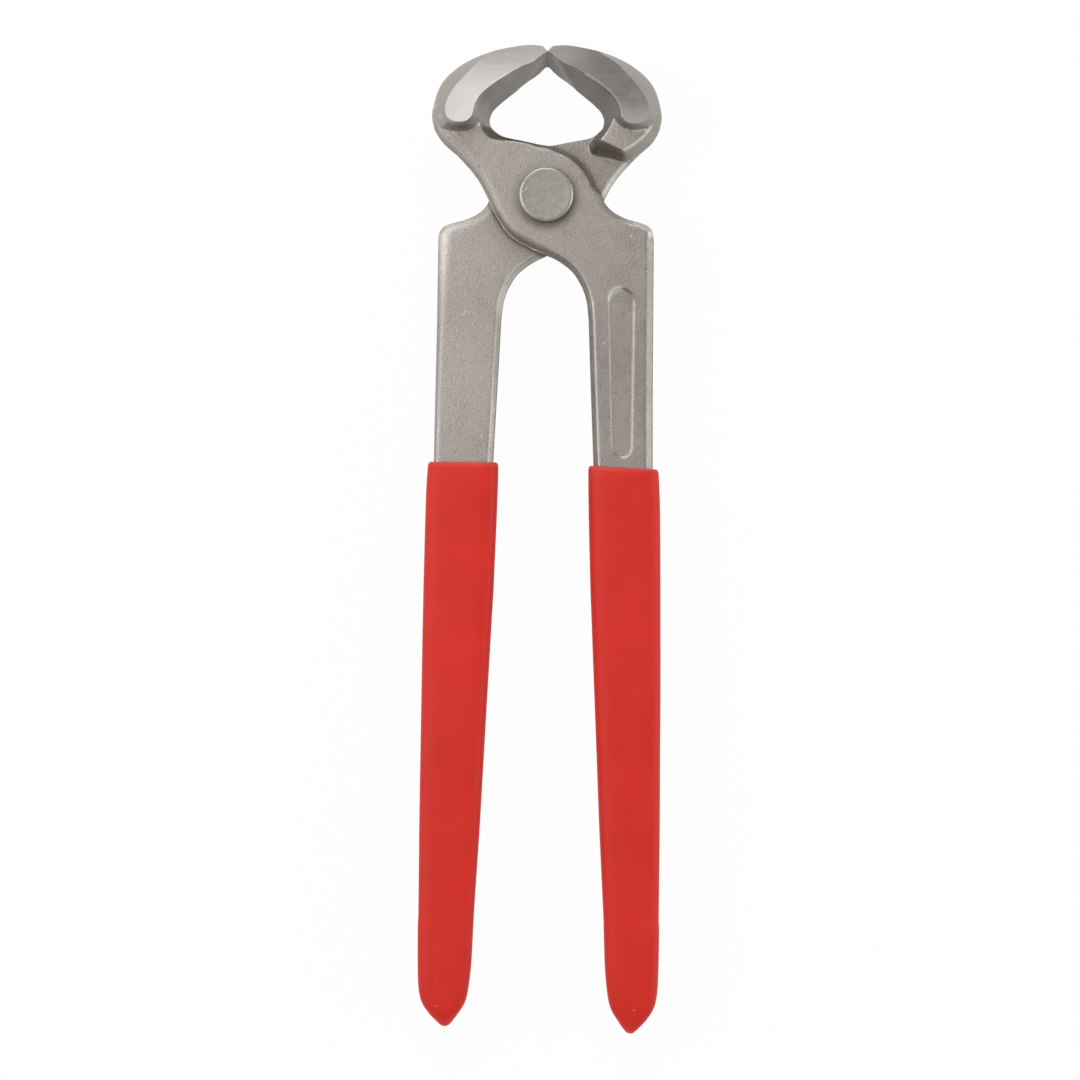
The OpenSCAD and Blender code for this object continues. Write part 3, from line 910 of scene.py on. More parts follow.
    def outline_plate(self) -> None:
        """Works out the outlines of the hub, its bore, the handle and the recessed panel."""
        angles = np.arange(self.hub_sides) * math.tau / self.hub_sides
        ring = np.column_stack([np.cos(angles), np.sin(angles)])
        self.hub_centre = np.array([-self.hub_shift, -self.hub_shift])
        self.hub = Region(self.hub_centre + self.hub_radius * ring)
        self.bore_ring = Region(self.bore * ring[::self.hub_sides // self.bore_sides])
        self.handle_outer, self.handle_inner = self.handle.edges()
        self.handle_area = Region(np.vstack([self.handle_outer, self.handle_inner[::-1]]))
        top_y = -(self.slot_end - self.slot_length + self.slot_width / 2)
        low_y = -(self.slot_end - self.slot_width / 2)
        middle = [float(self.handle.outer(y) + self.handle.inner(y)) / 2 + self.slot_shift
                  for y in (-self.slot_end * self.slot_middle_share, low_y)]
        self.slot_line = np.array([[middle[0], top_y], [middle[1], low_y]])

    def drawn(self, shares: Rows) -> Array:
        """Turns shares of the head's size into points on the jaw's side."""
        return np.array(shares) * np.array([-self.half_span, self.reach])

    def curve(self, shares: Rows, steps: int = 8) -> Array:
        """Runs a smooth curve through shares of the head's size."""
        return smooth_curve(self.drawn(shares), steps)

    def started(self, past: float, shares: Rows) -> Array:
        """Runs a smooth curve that starts a little past the middle, level with its first share."""
        return np.vstack([[[past, self.reach * shares[0][1]]], self.curve(shares)])

    def slot_ring(self, inset: float) -> Array:
        """Gives the outline of the recessed panel, set in from its rim."""
        radius = self.slot_width / 2 - inset
        turns = np.linspace(0.0, math.pi, self.arc_points)
        arc = np.column_stack([np.cos(turns), np.sin(turns)])
        return np.vstack([self.slot_line[0] + (radius + self.slot_flare) * arc,
                          self.slot_line[1] - (radius - self.slot_flare) * arc])

    def cut_line(self) -> tuple[Array, Array]:
        """Gives the line of the ground bevel behind the cutting edge: a point on it and its direction."""
        start = np.array([-self.edge_gap, self.edge_low])
        end = np.array([-self.bevel_foot[0], self.bevel_foot[1]])
        return start, (end - start) / np.linalg.norm(end - start)

    def jaw_plan(self) -> Array:
        """Gives the jaw's plan with its cutting edge and its ground bevel."""
        start, direction = self.cut_line()
        reach = np.linalg.norm(np.array([-self.bevel_foot[0], self.bevel_foot[1]]) - start)
        bevel = start + np.linspace(0.0, reach, self.bevel_points)[:, None] * direction
        throat = self.curve(self.throat_shares)
        throat = throat[throat[:, 0] < -self.bevel_foot[0] - self.joint_gap]
        return np.vstack([self.curve(self.crown_shares)[:-1], self.drawn(self.jaw_end_shares),
                          throat[:-1][::-1], bevel[::-1], [[-self.edge_gap, self.edge_top]]])

    def rows(self) -> list[Array]:
        """Gives rows of points beside the steep walls, where the even grid alone would be too coarse."""
        found = []
        wall = tuple(pair[0] for pair in self.plate_wall[2:])
        throat = tuple(pair[0] for pair in self.throat_wall[2:])
        beside = [(self.crown[2:], self.crown_rows), (self.neck_outer, wall),
                  (self.neck_inner, wall + throat), (self.handle_outer, self.outer_rows),
                  (self.handle_inner, self.inner_rows),
                  (self.face_outer[2:], self.face_rows), (self.face_inner[1:], self.face_rows)]
        for line, offsets in beside:
            along = np.gradient(line, axis=0)
            across = np.column_stack([-along[:, 1], along[:, 0]])
            across /= np.maximum(np.linalg.norm(across, axis=1), 1e-9)[:, None]
            for offset in offsets:
                found += [spaced(line + across * offset * sign, self.grain) for sign in (1.0, -1.0)]
        ring = np.linspace(0.0, math.tau, self.rim_sides, endpoint=False)
        for inset in wall[:-1]:
            radius = self.hub_radius - inset
            found.append(self.hub_centre + radius * np.column_stack([np.cos(ring), np.sin(ring)]))
        return found

    def grid(self) -> Array:
        """Gives an even grid of points over the plan, coarser inside the grip."""
        found = []
        for step, low, high in ((self.grain, -self.grip_mouth, self.reach),
                                (self.grip_grain, -self.handle.end, -self.grip_mouth)):
            for k, y in enumerate(np.arange(low, high, step * self.row_share)):
                xs = np.arange(-self.half_span, self.half_span, step) + (k % 2) * step / 2
                found.append(np.column_stack([xs, np.full(len(xs), y)]))
        every = np.vstack(found)
        wanted = np.zeros(len(every), bool)
        for area in (self.jaw_plan(), self.neck.outline, self.heel.outline, self.hub.outline,
                     self.handle_area.outline):
            wanted |= inside(every, area)
        return every[wanted]

    def mesh_plan(self) -> None:
        """Triangulates the plan and finds the border of its plate: neck, hub and handle."""
        plates = [self.neck.outline, self.hub.outline, self.handle_area.outline]
        areas = plates + [self.jaw_plan(), self.heel.outline]
        lines = [closed(area) for area in areas]
        lines += [closed(self.bore_ring.outline), self.face_outer, self.face_inner, self.patch_outer,
                  np.vstack([self.patch_outer[-1:], self.patch_inner[-1:]]), self.patch_inner,
                  closed(self.slot_ring(0.0)), closed(self.slot_ring(self.slot_wall))]
        points, edges = [], []
        for line in lines:
            pieces = [spaced(np.array(pair), self.grain * self.border_share)[:-1]
                      for pair in zip(line[:-1], line[1:])]
            dense = np.vstack(pieces + [line[-1:]])
            edges += [(len(points) + k, len(points) + k + 1) for k in range(len(dense) - 1)]
            points += [tuple(p) for p in dense]
        fixed = np.array(points)
        beside = self.apart(fixed, np.vstack(self.rows()), self.least_gap)
        cells = np.round(beside / self.merge_cell).astype(int)
        beside = beside[np.unique(cells, axis=0, return_index=True)[1]]
        even = self.apart(np.vstack([fixed, beside]), self.grid(), self.grain * self.clear_share)
        every = [Vector(p) for p in np.vstack([fixed, beside, even])]
        made = delaunay_2d_cdt(every, edges, [], 0, self.merge_limit)
        vertices, triangles = np.array([tuple(v) for v in made[0]]), np.array(made[2])
        centres = vertices[triangles].mean(axis=1)
        on_plate = np.any([inside(centres, area) for area in plates], axis=0)
        on_rest = np.any([inside(centres, area) for area in areas[len(plates):]], axis=0)
        wanted = (on_plate | on_rest) & (np.hypot(*centres.T) > self.bore)
        border = self.border_of(triangles[on_plate])
        self.plate_border = Border(vertices[border[:, 0]], vertices[border[:, 1]])
        used, places = np.unique(triangles[wanted], return_inverse=True)
        self.plan = vertices[used]
        self.triangles = places.reshape(-1, 3)
        self.on_plate = np.zeros(len(vertices), bool)
        self.on_plate[triangles[on_plate]] = True
        self.on_plate = self.on_plate[used]

    @staticmethod
    def border_of(triangles: Array) -> Array:
        """Finds the edges that only one triangle has, in that triangle's own direction."""
        every = np.vstack([triangles[:, [0, 1]], triangles[:, [1, 2]], triangles[:, [2, 0]]])
        known = {(int(a), int(b)) for a, b in every}
        return np.array([pair for pair in sorted(known) if (pair[1], pair[0]) not in known])

    @staticmethod
    def apart(fixed: Array, points: Array, least: float) -> Array:
        """Keeps the points that stand at least a distance off fixed ones."""
        tree = kdtree.KDTree(len(fixed))
        for k, (x, y) in enumerate(fixed):
            tree.insert((x, y, 0.0), k)
        tree.balance()
        return np.array([p for p in points if tree.find((p[0], p[1], 0.0))[2] >= least])

    def jaw_height(self, foot: Region, power: Array) -> Array:
        """Gives the jaw's height over the mid-plane, which differs between the sides by its foot alone."""
        share = foot.rise_to(self.face, self.plan)
        risen = self.half_width * np.clip(share, 0.0, 1.0) ** power
        return np.where(share < 0.0, share * self.skirt, risen)

    def measured(self) -> Survey:
        """Measures every point of the plan."""
        plan = self.plan
        x, y = plan.T
        to_outer, to_inner = distance_to(plan, self.face_outer), distance_to(plan, self.face_inner)
        power = 1.0 + (self.crown_power - 1.0) * (to_outer < to_inner) * self.crown_rise.at(y)
        nearer_outer = distance_to(plan, self.handle_inner) - distance_to(plan, self.handle_outer)
        throat = self.throat_near.at(distance_to(plan, self.neck_inner)) * self.throat_side.at(x)
        heel_share = self.heel.rise_to(self.patch, plan)
        heel = np.where(heel_share < 0.0, heel_share * self.skirt, self.plate * np.clip(heel_share, 0.0, 1.0))
        panel_middle = np.interp(y, self.slot_line[::-1, 1], self.slot_line[::-1, 0])
        return Survey(
            x=x, y=y, on_plate=self.on_plate, depth=self.plate_border.distance(plan),
            depth_turned=self.plate_border.distance(plan * np.array([-1.0, 1.0])),
            handle_share=self.handle_fade.at((x - y) / math.sqrt(2.0)),
            outer_share=self.edge_blend.at(nearer_outer), throat_share=throat,
            to_outer=to_outer, to_inner=to_inner, to_neck=distance_to(plan, self.neck_outer),
            face_depth=self.face.depth(plan), foot_depth=self.lap_foot.depth(plan),
            panel_depth=Region(self.slot_ring(0.0)).depth(plan), across_panel=x - panel_middle,
            above_panel=y - self.slot_line[0, 1], heel_share=heel_share,
            patch_depth=self.patch.depth(plan),
            to_patch=np.minimum(distance_to(plan, self.patch_outer), distance_to(plan, self.patch_inner)),
            jaw=self.jaw_height(self.foot, power), lap_jaw=self.jaw_height(self.lap_foot, power), heel=heel)

    def edge_drop(self, survey: Survey, outer: Rows, inner: Rows, narrowing: float) -> Array:
        """Gives how far the handle's edges fall below its face.

        Args:
            survey: What was measured over the plan.
            outer: How the outer edge falls away.
            inner: How the inner edge falls away.
            narrowing: How much the outer edge's bevel narrows down the run.
        Returns:
            The drop at each point.
        """
        y, share = survey.y, survey.outer_share
        narrowed = survey.depth * (1.0 + narrowing * self.run_fade.at(y)
                                   + self.shoulder_narrowing * self.shoulder_fade.at(y))
        outer_drop = np.interp(narrowed, *np.array(outer).T)
        inner_drop = np.interp(survey.depth, *np.array(inner).T)
        limit = (self.handle.high(y) - self.handle.low(y)) * self.bevel_limit_share
        return np.minimum((outer_drop * share + inner_drop * (1.0 - share)) * self.handle.taper(y), limit)

    def plate_top(self, survey: Survey) -> Array:
        """Gives the height of the plate's outer side: its wall, the throat, the handle and the panel."""
        wall = np.interp(survey.depth, *np.array(self.plate_wall).T)
        spread = np.interp(survey.x, *np.array(self.throat_spread).T)
        throat = np.interp(survey.depth / spread, *np.array(self.throat_wall).T)
        wall = wall * (1.0 - survey.throat_share) + throat * survey.throat_share
        face = self.handle.high(survey.y) - self.edge_drop(survey, self.outer_bevel, self.inner_bevel, 0.0)
        top = wall * (1.0 - survey.handle_share) + face * survey.handle_share
        return top - self.slot_depth * np.clip(survey.panel_depth / self.slot_wall, 0.0, 1.0)

    def plate_under(self, survey: Survey) -> Array:
        """Gives the height of the plate's lap side, as seen from that side."""
        neck = np.interp(survey.to_neck, *np.array(self.neck_bevel).T)
        clear = np.hypot(survey.x, survey.y) > self.hub_radius * self.neck_clear_share
        neck = neck * clear * (survey.x < 0.0)
        share = survey.handle_share
        drop = self.edge_drop(survey, self.lap_outer_bevel, self.lap_inner_bevel, self.run_narrowing)
        face = self.lap * (1.0 - share) + self.handle.low(survey.y) * share + drop * share
        under = np.where(survey.on_plate, -face - neck, 0.0)
        in_hub = np.hypot(*(self.plan - self.hub_centre).T) < self.hub_radius
        return np.where(in_hub, np.minimum(under, -self.lap), under)

    def raise_plan(self, survey: Survey) -> None:
        """Works out the height of both sides over the plan and the lean of the ground face."""
        top = soft_max(np.maximum(self.plate_top(survey), 0.0), survey.jaw, self.jaw_fillet)
        top = np.where(survey.on_plate, top, np.maximum(survey.jaw, 0.0))
        under = self.plate_under(survey)
        near_heel = survey.heel_share > -self.heel_margin_share
        under = np.where(near_heel, soft_max(under, survey.heel, self.heel_fillet), under)
        near_jaw = survey.lap_jaw > under - self.jaw_margin
        under = np.where(near_jaw, soft_max(under, survey.lap_jaw, self.lap_fillet), under)
        rolling = self.unevenness * (self.waves() - 1.0) / 2 * (survey.face_depth < -self.rolling_margin)
        self.top = np.maximum(top + rolling * (top > self.rolling_least), -under)
        self.low = -under
        self.lean = -survey.x * MM * (survey.face_depth > -self.lean_margin)

    def waves(self) -> Array:
        """Gives the slight rolling of a forged face, from -1 to 1."""
        x, y = self.plan.T
        a, b, c, d = self.fine_wave
        fine = np.sin(x * a + np.sin(y * b) * 2.0) * np.sin(y * c + np.sin(x * d) * 2.0)
        a, b, c, d = self.broad_wave
        return (fine + np.sin(x * a + y * b + 1.0) * np.sin(y * c - x * d)) / 2

    def mark_skin(self, survey: Survey) -> None:
        """Lays the wear, the grime, the painted highlights and the painted shade of both sides, and the
        painted reflection on the ground faces.
        """
        coat = Coat(len(self.plan))
        for marks in (JawMarks(), HeelMarks(), HandleMarks()):
            marks.lay(survey, coat)
        PlateMarks().lay(survey, self.top, coat)
        PanelLightAndShade().lay(survey, self.slot_wall, coat)
        self.wear_and_highlight, self.soot_and_shade = coat.worn_and_lit.ravel(), coat.grime_and_shade.ravel()
        reflection_and_coarseness = GroundReflectionAndCoarseness()
        self.painted_reflection, self.coarse = reflection_and_coarseness.painted_reflection(survey), reflection_and_coarseness.coarse(survey)

    def dressed(self, name: str, tool: ToolFrame, turn: Turn, finishes: tuple[bpy.types.Material, ...]
                ) -> bpy.types.Object:
        """Makes one lever of the forging.

        Args:
            name: The lever's name.
            tool: The frame of the whole tool.
            turn: Which way up the lever lies.
            finishes: The finishes of the forged skin and of the ground faces.
        Returns:
            The finished object.
        """
        count = len(self.plan)
        vertices = np.vstack([np.column_stack([self.plan, self.top]), np.column_stack([self.plan, self.low])])
        border = self.border_of(self.triangles)
        faces = [tuple(t) for t in self.triangles.tolist()]
        faces += [tuple(t[::-1]) for t in (self.triangles + count).tolist()]
        faces += [(a, a + count, b + count, b) for a, b in border.tolist()]
        mesh = bpy.data.meshes.new(name)
        mesh.from_pydata(tool.place(vertices, turn).tolist(), [], faces)
        for material in finishes:
            mesh.materials.append(material)
        on_face = self.face.depth(self.plan[self.triangles].mean(axis=1)) > 0.0
        slots = np.concatenate([on_face, on_face, self.ground_walls(border) * 2]).astype(np.int32)
        mesh.polygons.foreach_set("material_index", slots)
        # The bright mark holds wear and painted highlights, the dark mark grime and painted shade, and the
        # ground faces' brightness is a painted reflection.
        marks = (("wear_and_highlight", self.wear_and_highlight), ("soot_and_shade", self.soot_and_shade), ("painted_reflection", self.painted_reflection),
                 ("lean", np.tile(self.lean, 2)), ("coarse", self.coarse))
        for label, values in marks:
            mark(mesh, label, values)
        return finished(name, mesh, 30.0)

    def ground_walls(self, border: Array) -> Array:
        """Tells which upright faces belong to the ground bevel behind the cutting edge."""
        middles = (self.plan[border[:, 0]] + self.plan[border[:, 1]]) / 2
        start, direction = self.cut_line()
        along = (middles - start) @ direction
        away = np.abs((middles - start) @ np.array([-direction[1], direction[0]]))
        beside = (along > -self.ground_lead) & (along < np.hypot(*self.bevel_foot))
        return (away < self.ground_gap) & beside


def mark(mesh: bpy.types.Mesh, label: str, values: Array) -> None:
    """Stores one number for each vertex under a name that the finishes read."""
    mesh.attributes.new(label, "FLOAT", "POINT").data.foreach_set("value", values.astype(np.float32))


def finished(name: str, mesh: bpy.types.Mesh, sharp: float) -> bpy.types.Object:
    """Cleans a mesh, shades it smooth and puts it in the scene.

    Args:
        name: The piece's name.
        mesh: The mesh, with its place in it.
        sharp: The angle in degrees from which an edge stays sharp.
    Returns:
        The object, at the origin and unturned.
    """
    work = bmesh.new()
    work.from_mesh(mesh)
    bmesh.ops.remove_doubles(work, verts=work.verts, dist=2e-6)
    bmesh.ops.dissolve_degenerate(work, edges=work.edges, dist=1e-7)
    bmesh.ops.recalc_face_normals(work, faces=work.faces)
    if work.calc_volume(signed=True) < 0.0:
        bmesh.ops.reverse_faces(work, faces=work.faces)
    work.to_mesh(mesh)
    work.free()
    mesh.polygons.foreach_set("use_smooth", [True] * len(mesh.polygons))
    mesh.set_sharp_from_angle(angle=math.radians(sharp))
    made = bpy.data.objects.new(name, mesh)
    bpy.context.scene.collection.objects.link(made)
    return made


@dataclass
class Rivet:
    """The rivet that joins the levers: two flat heads on one shank, in millimetres about its middle."""

    name: str = "pivot_rivet_turned"
    shank: float = 4.0
    front_seat: float = 6.36
    back_seat: float = 6.3
    turns: int = 144
    head_profile: Rows = ((4.0, 0.), (6.72, 0.), (6.88, .07), (6.97, .25), (7.0, .55), (6.99, 1.15),
                          (6.93, 1.45),
                          (6.82, 1.68), (6.66, 1.85), (6.45, 1.96), (6.22, 2.0), (5.95, 1.985), (5.5, 1.955),
                          (4.2, 1.94), (2.2, 1.935), (0.0, 1.93))

    def build(self, tool: ToolFrame, finish: bpy.types.Material) -> bpy.types.Object:
        """Turns the rivet's profile about its axis.

        Args:
            tool: The frame of the whole tool.
            finish: The rivet's finish.
        Returns:
            The finished object.
        """
        heads = [(r, self.front_seat + z) for r, z in self.head_profile]
        backs = [(r, -self.back_seat - z) for r, z in self.head_profile]
        profile = np.array(heads[::-1] + backs)
        angles = np.arange(self.turns) * math.tau / self.turns
        rings = [np.column_stack([r * np.cos(angles), r * np.sin(angles), np.full(self.turns, z)])
                 for r, z in profile]
        faces = []
        for i in range(len(profile) - 1):
            for k in range(self.turns):
                a, b = i * self.turns + k, i * self.turns + (k + 1) % self.turns
                faces.append((a, a + self.turns, b + self.turns, b))
        mesh = bpy.data.meshes.new(self.name)
        mesh.from_pydata([tuple(p) for p in tool.place(np.vstack(rings), Turn.FRONT)], [], faces)
        mesh.materials.append(finish)
        # A bright ring on the head's rim, partly rubbed wear and partly a painted highlight.
        worn_and_lit = np.exp(-((np.array(profile)[:, 0] - 6.62) / 0.16) ** 2)
        mark(mesh, "wear_and_highlight", np.repeat(worn_and_lit, self.turns))
        return finished(self.name, mesh, 40.0)


@dataclass
class Grip:
    """A dipped grip, swept by geometry nodes along its handle, in millimetres about the rivet."""

    name: str
    turn: Turn
    handle: Handle
    mouth: float
    tip: float
    slope: float
    seed: int
    coat_outer: float = 2.0
    coat_inner: float = 1.6
    coat_face: float = 1.9
    inner_fullness: float = 0.5
    bare_share: float = 0.1
    play: float = 0.05
    sides: int = 72
    specks: float = 1500.0
    speck_radius: float = 0.17
    body_power: float = 4.6
    power_margin: float = 0.1
    # The cavity's sections: how far above the steel's end, then their places, and how far its end lies below
    cavity_power: float = 14.0
    cavity_rises: Row = (0.0, 3.5, 9.7)
    cavity_places: Row = (-160.0, -120.0, -90.0)
    cavity_end: float = 0.5
    # The sections inside the mouth: distance below it, share of the coat, squareness and share of the slope
    mouth_sections: Rows = ((4.0, 0.0, 14.0, 0.4), (0.35, 0.0, 14.0, 1.0), (0.05, 0.22, 9.0, 1.0))
    lip: float = 1.35
    lip_points: int = 8
    lip_power: float = 7.0
    lip_share: float = 0.42
    lip_growth: float = 0.36
    # The body's sections: where they start and end, how full they are and how they ripple
    body_start: float = 4.0
    body_step: float = 3.5
    body_end_share: float = 0.88
    body_share: float = 0.950
    ripple_share: float = 0.015
    ripple_runs: Pair = (9.0, 23.0)
    thinning_share: float = 0.24
    thinning_run: float = 5.5
    slope_run: float = 22.0
    tip_power: float = 2.6
    tip_rounding: Pair = (0.55, 1.0)
    mouth_rub: Pair = (1.6, 0.3)
    tip_rub: float = 4.0
    sharp: float = 50.0
    # The pointed end: how far down it, the edge's retreat, the width and the thickness
    tip_shares: Rows = (
        (.0, .0, 1.0, 1.0), (.38, .005, .965, .99), (.62, .025, .900, .97), (.76, .085, .780, .93),
        (.87, .215, .530, .84), (.95, .355, .285, .66), (.985, .425, .155, .44), (.997, .460, .070, .22),
        (1.0, .495, .0, .0))

    def ring(self, y: float, coat: float, power: float, shear: float) -> Row:
        """Gives one section of the grip: its place, edges, half thickness, squareness and slope."""
        outer, inner = float(self.handle.outer(y)), float(self.handle.inner(y))
        half = self.handle.thick / 2 * float(self.handle.taper(y))
        spare = self.play if coat < self.bare_share else 0.0
        fullness = self.inner_fullness
        fuller = coat * (1.0 + fullness - fullness * coat) if coat < 1.0 else coat
        return (y, outer + self.coat_outer * coat + spare, inner - self.coat_inner * fuller - spare,
                half + self.coat_face * coat + spare, power, shear)

    def rings(self) -> Array:
        """Lists the sections from the cavity's end, out at the mouth and down to the tip."""
        places = [rise - self.handle.end for rise in self.cavity_rises] + list(self.cavity_places)
        cavity = [self.ring(y, 0.0, self.cavity_power, 0.0) for y in places]
        y, outer, inner, _, power, _ = cavity[0]
        middle = (outer + inner) / 2
        cavity.insert(0, (y - self.cavity_end, middle, middle, 0.0, power, 0.0))
        run = self.handle.end - self.handle.shoulder_run
        last = -(self.handle.shoulder_run + self.body_end_share * run)
        return np.array(cavity + self.mouth_rings() + self.body_rings(last) + self.tip_rings(last))

    def mouth_rings(self) -> list[Row]:
        """Lists the sections of the mouth and its round lip."""
        found = [self.ring(-self.mouth - below, coat, power, self.slope * share)
                 for below, coat, power, share in self.mouth_sections]
        for turn in np.linspace(0.0, math.pi / 2, self.lip_points):
            place = -self.mouth - self.lip * (1.0 - math.cos(turn))
            coat = self.lip_share + self.lip_growth * math.sin(turn)
            power = self.lip_power + (self.body_power - self.lip_power) * math.sin(turn)
            found.append(self.ring(place, coat, power, self.slope))
        return found

    def body_rings(self, last: float) -> list[Row]:
        """Lists the sections between the lip and the pointed end."""
        ys = np.arange(-self.mouth - self.body_start, last, -self.body_step)
        fade = np.clip(1.0 + (ys + self.mouth) / self.slope_run, 0.0, 1.0)
        short, long = self.ripple_runs
        swell = self.body_share + self.ripple_share * np.sin(ys / short) * np.sin(ys / long + self.seed)
        swell = swell - self.thinning_share * np.exp((ys + self.mouth) / self.thinning_run)
        return [self.ring(float(y), float(s), self.body_power, self.slope * float(f))
                for y, s, f in zip(ys, swell, fade)]

    def tip_rings(self, last: float) -> list[Row]:
        """Lists the sections of the pointed end."""
        _, outer, inner, half, power, _ = self.ring(last, 1.0, self.body_power, 0.0)
        width = outer - inner
        found = []
        for place, retreat, wide, thick in smooth_curve(np.array(self.tip_shares), 4):
            edge = outer - retreat * width
            rounding = smooth_step(*self.tip_rounding, np.array([place]))[0]
            rounded = power + (self.tip_power - power) * rounding
            found.append((last + (-self.tip - last) * place, edge, edge - max(wide, 0.0) * width,
                          half * max(thick, 0.0), rounded, 0.0))
        return found

    def build(self, tool: ToolFrame, finish: bpy.types.Material) -> bpy.types.Object:
        """Sweeps the sections into a closed coat with geometry nodes.

        Args:
            tool: The frame of the whole tool.
            finish: The plastic's finish.
        Returns:
            The finished object.
        """
        rings = self.rings()
        chain = bpy.data.meshes.new(self.name + "_line")
        line = np.column_stack([np.zeros(len(rings)), rings[:, 0], np.zeros(len(rings))])
        chain.from_pydata([tuple(p) for p in tool.place(line, self.turn)], [], [])
        for k, label in enumerate(("outer", "inner", "half", "power", "shear"), start=1):
            values = rings[:, k] * (1.0 if label in ("power", "shear") else MM)
            if label in ("outer", "inner", "shear"):
                values = values * self.turn.value
            mark(chain, label, values)
        maker = bpy.data.objects.new(self.name + "_maker", chain)
        bpy.context.scene.collection.objects.link(maker)
        modifier = maker.modifiers.new("dip", "NODES")
        tree, sockets = dipped_coat_tree()
        modifier.node_group = tree
        settings = {"Sides": self.sides, "Rings": len(rings), "Speck Density": self.specks,
                    "Speck Radius": self.speck_radius * MM, "Seed": self.seed,
                    "Body Power": self.body_power + self.power_margin, "Finish": finish}
        for label, value in settings.items():
            modifier[sockets[label]] = value
        bpy.context.view_layer.update()
        evaluated = maker.evaluated_get(bpy.context.evaluated_depsgraph_get())
        mesh = bpy.data.meshes.new_from_object(evaluated)
        bpy.data.objects.remove(maker)
        mesh.name = self.name + "_coat"
        ys = np.array([v.co.y for v in mesh.vertices]) / MM - tool.pivot_y
        low, high = self.mouth_rub
        at_mouth = smooth_step(-self.mouth - low, -self.mouth - high, ys)
        mark(mesh, "wear_and_highlight", np.maximum(at_mouth, smooth_step(-self.tip + self.tip_rub, -self.tip, ys)))
        return finished(self.name + "_coat", mesh, self.sharp)


class TreeMaker:
    """Builds a node tree by short calls."""

    def __init__(self, tree: bpy.types.NodeTree) -> None:
        """Keeps the tree that the calls work on."""
        self.tree = tree

    def node(self, kind: str, inputs: dict | None = None, **settings: object) -> bpy.types.Node:
        """Adds a node.

        Args:
            kind: The node's type.
            inputs: Values or sockets for its inputs, by name or place.
            settings: The node's own settings.
        Returns:
            The new node.
        """
        made = self.tree.nodes.new(kind)
        for key, value in settings.items():
            setattr(made, key, value)
        for key, value in (inputs or {}).items():
            if isinstance(value, Socket):
                self.tree.links.new(value, made.inputs[key])
            else:
                made.inputs[key].default_value = value
        return made

    def math(self, operation: str, first: object, second: object = 0.0, clamp: bool = False) -> Socket:
        """Adds a Math node and gives its result."""
        made = self.node("ShaderNodeMath", {0: first, 1: second}, operation=operation)
        made.use_clamp = clamp
        return made.outputs[0]

    def times(self, first: object, second: object, clamp: bool = False) -> Socket:
        """Multiplies two values."""
        return self.math("MULTIPLY", first, second, clamp)

    def plus(self, first: object, second: object, clamp: bool = False) -> Socket:
        """Adds two values."""
        return self.math("ADD", first, second, clamp)

    def mix(self, factor: object, first: object, second: object) -> Socket:
        """Mixes two colours by a factor."""
        first, second = (value if isinstance(value, Socket) else (*value, 1.0)
                         for value in (first, second))
        return self.node("ShaderNodeMix", {0: factor, 6: first, 7: second}, data_type="RGBA").outputs[2]

    def mark(self, label: str) -> Socket:
        """Reads a number that the mesh stores at its vertices."""
        return self.node("ShaderNodeAttribute", attribute_name=label).outputs["Fac"]

    def remap(self, value: object, span: tuple, wanted: Pair = (0.0, 1.0)) -> Socket:
        """Stretches a value's span to a wanted one and clamps it there."""
        return self.node("ShaderNodeMapRange", {
            "Value": value, "From Min": span[0], "From Max": span[1], "To Min": wanted[0],
            "To Max": wanted[1]}).outputs[0]

    def noise(self, place: object, scale: object, detail: float, roughness: float = 0.5) -> Socket:
        """Adds a noise texture and gives its factor."""
        return self.node("ShaderNodeTexNoise", {"Vector": place, "Scale": scale, "Detail": detail,
                                                "Roughness": roughness}).outputs[0]

    def bump(self, height: object, strength: float, distance: float) -> bpy.types.Node:
        """Adds a Bump node, whose first output is the normal."""
        return self.node("ShaderNodeBump", {"Height": height, "Strength": strength, "Distance": distance})


def dipped_coat_tree() -> tuple[bpy.types.NodeTree, dict[str, str]]:
    """Builds the tree that sweeps a squarish ring along a line of sections and adds small specks.

    Returns:
        The tree and the identifiers of its inputs by name.
    """
    tree = bpy.data.node_groups.get("dipped_coat")
    if tree is None:
        tree = bpy.data.node_groups.new("dipped_coat", "GeometryNodeTree")
        face = tree.interface
        face.new_socket("Geometry", in_out="INPUT", socket_type="NodeSocketGeometry")
        for label, kind in (("Sides", "Int"), ("Rings", "Int"), ("Speck Density", "Float"),
                            ("Speck Radius", "Float"), ("Seed", "Int"), ("Body Power", "Float"),
                            ("Finish", "Material")):
            face.new_socket(label, in_out="INPUT", socket_type="NodeSocket" + kind)
        face.new_socket("Geometry", in_out="OUTPUT", socket_type="NodeSocketGeometry")
        fill_coat_tree(TreeMaker(tree))
    sockets = {item.name: item.identifier for item in tree.interface.items_tree if item.in_out == "INPUT"}
    return tree, sockets


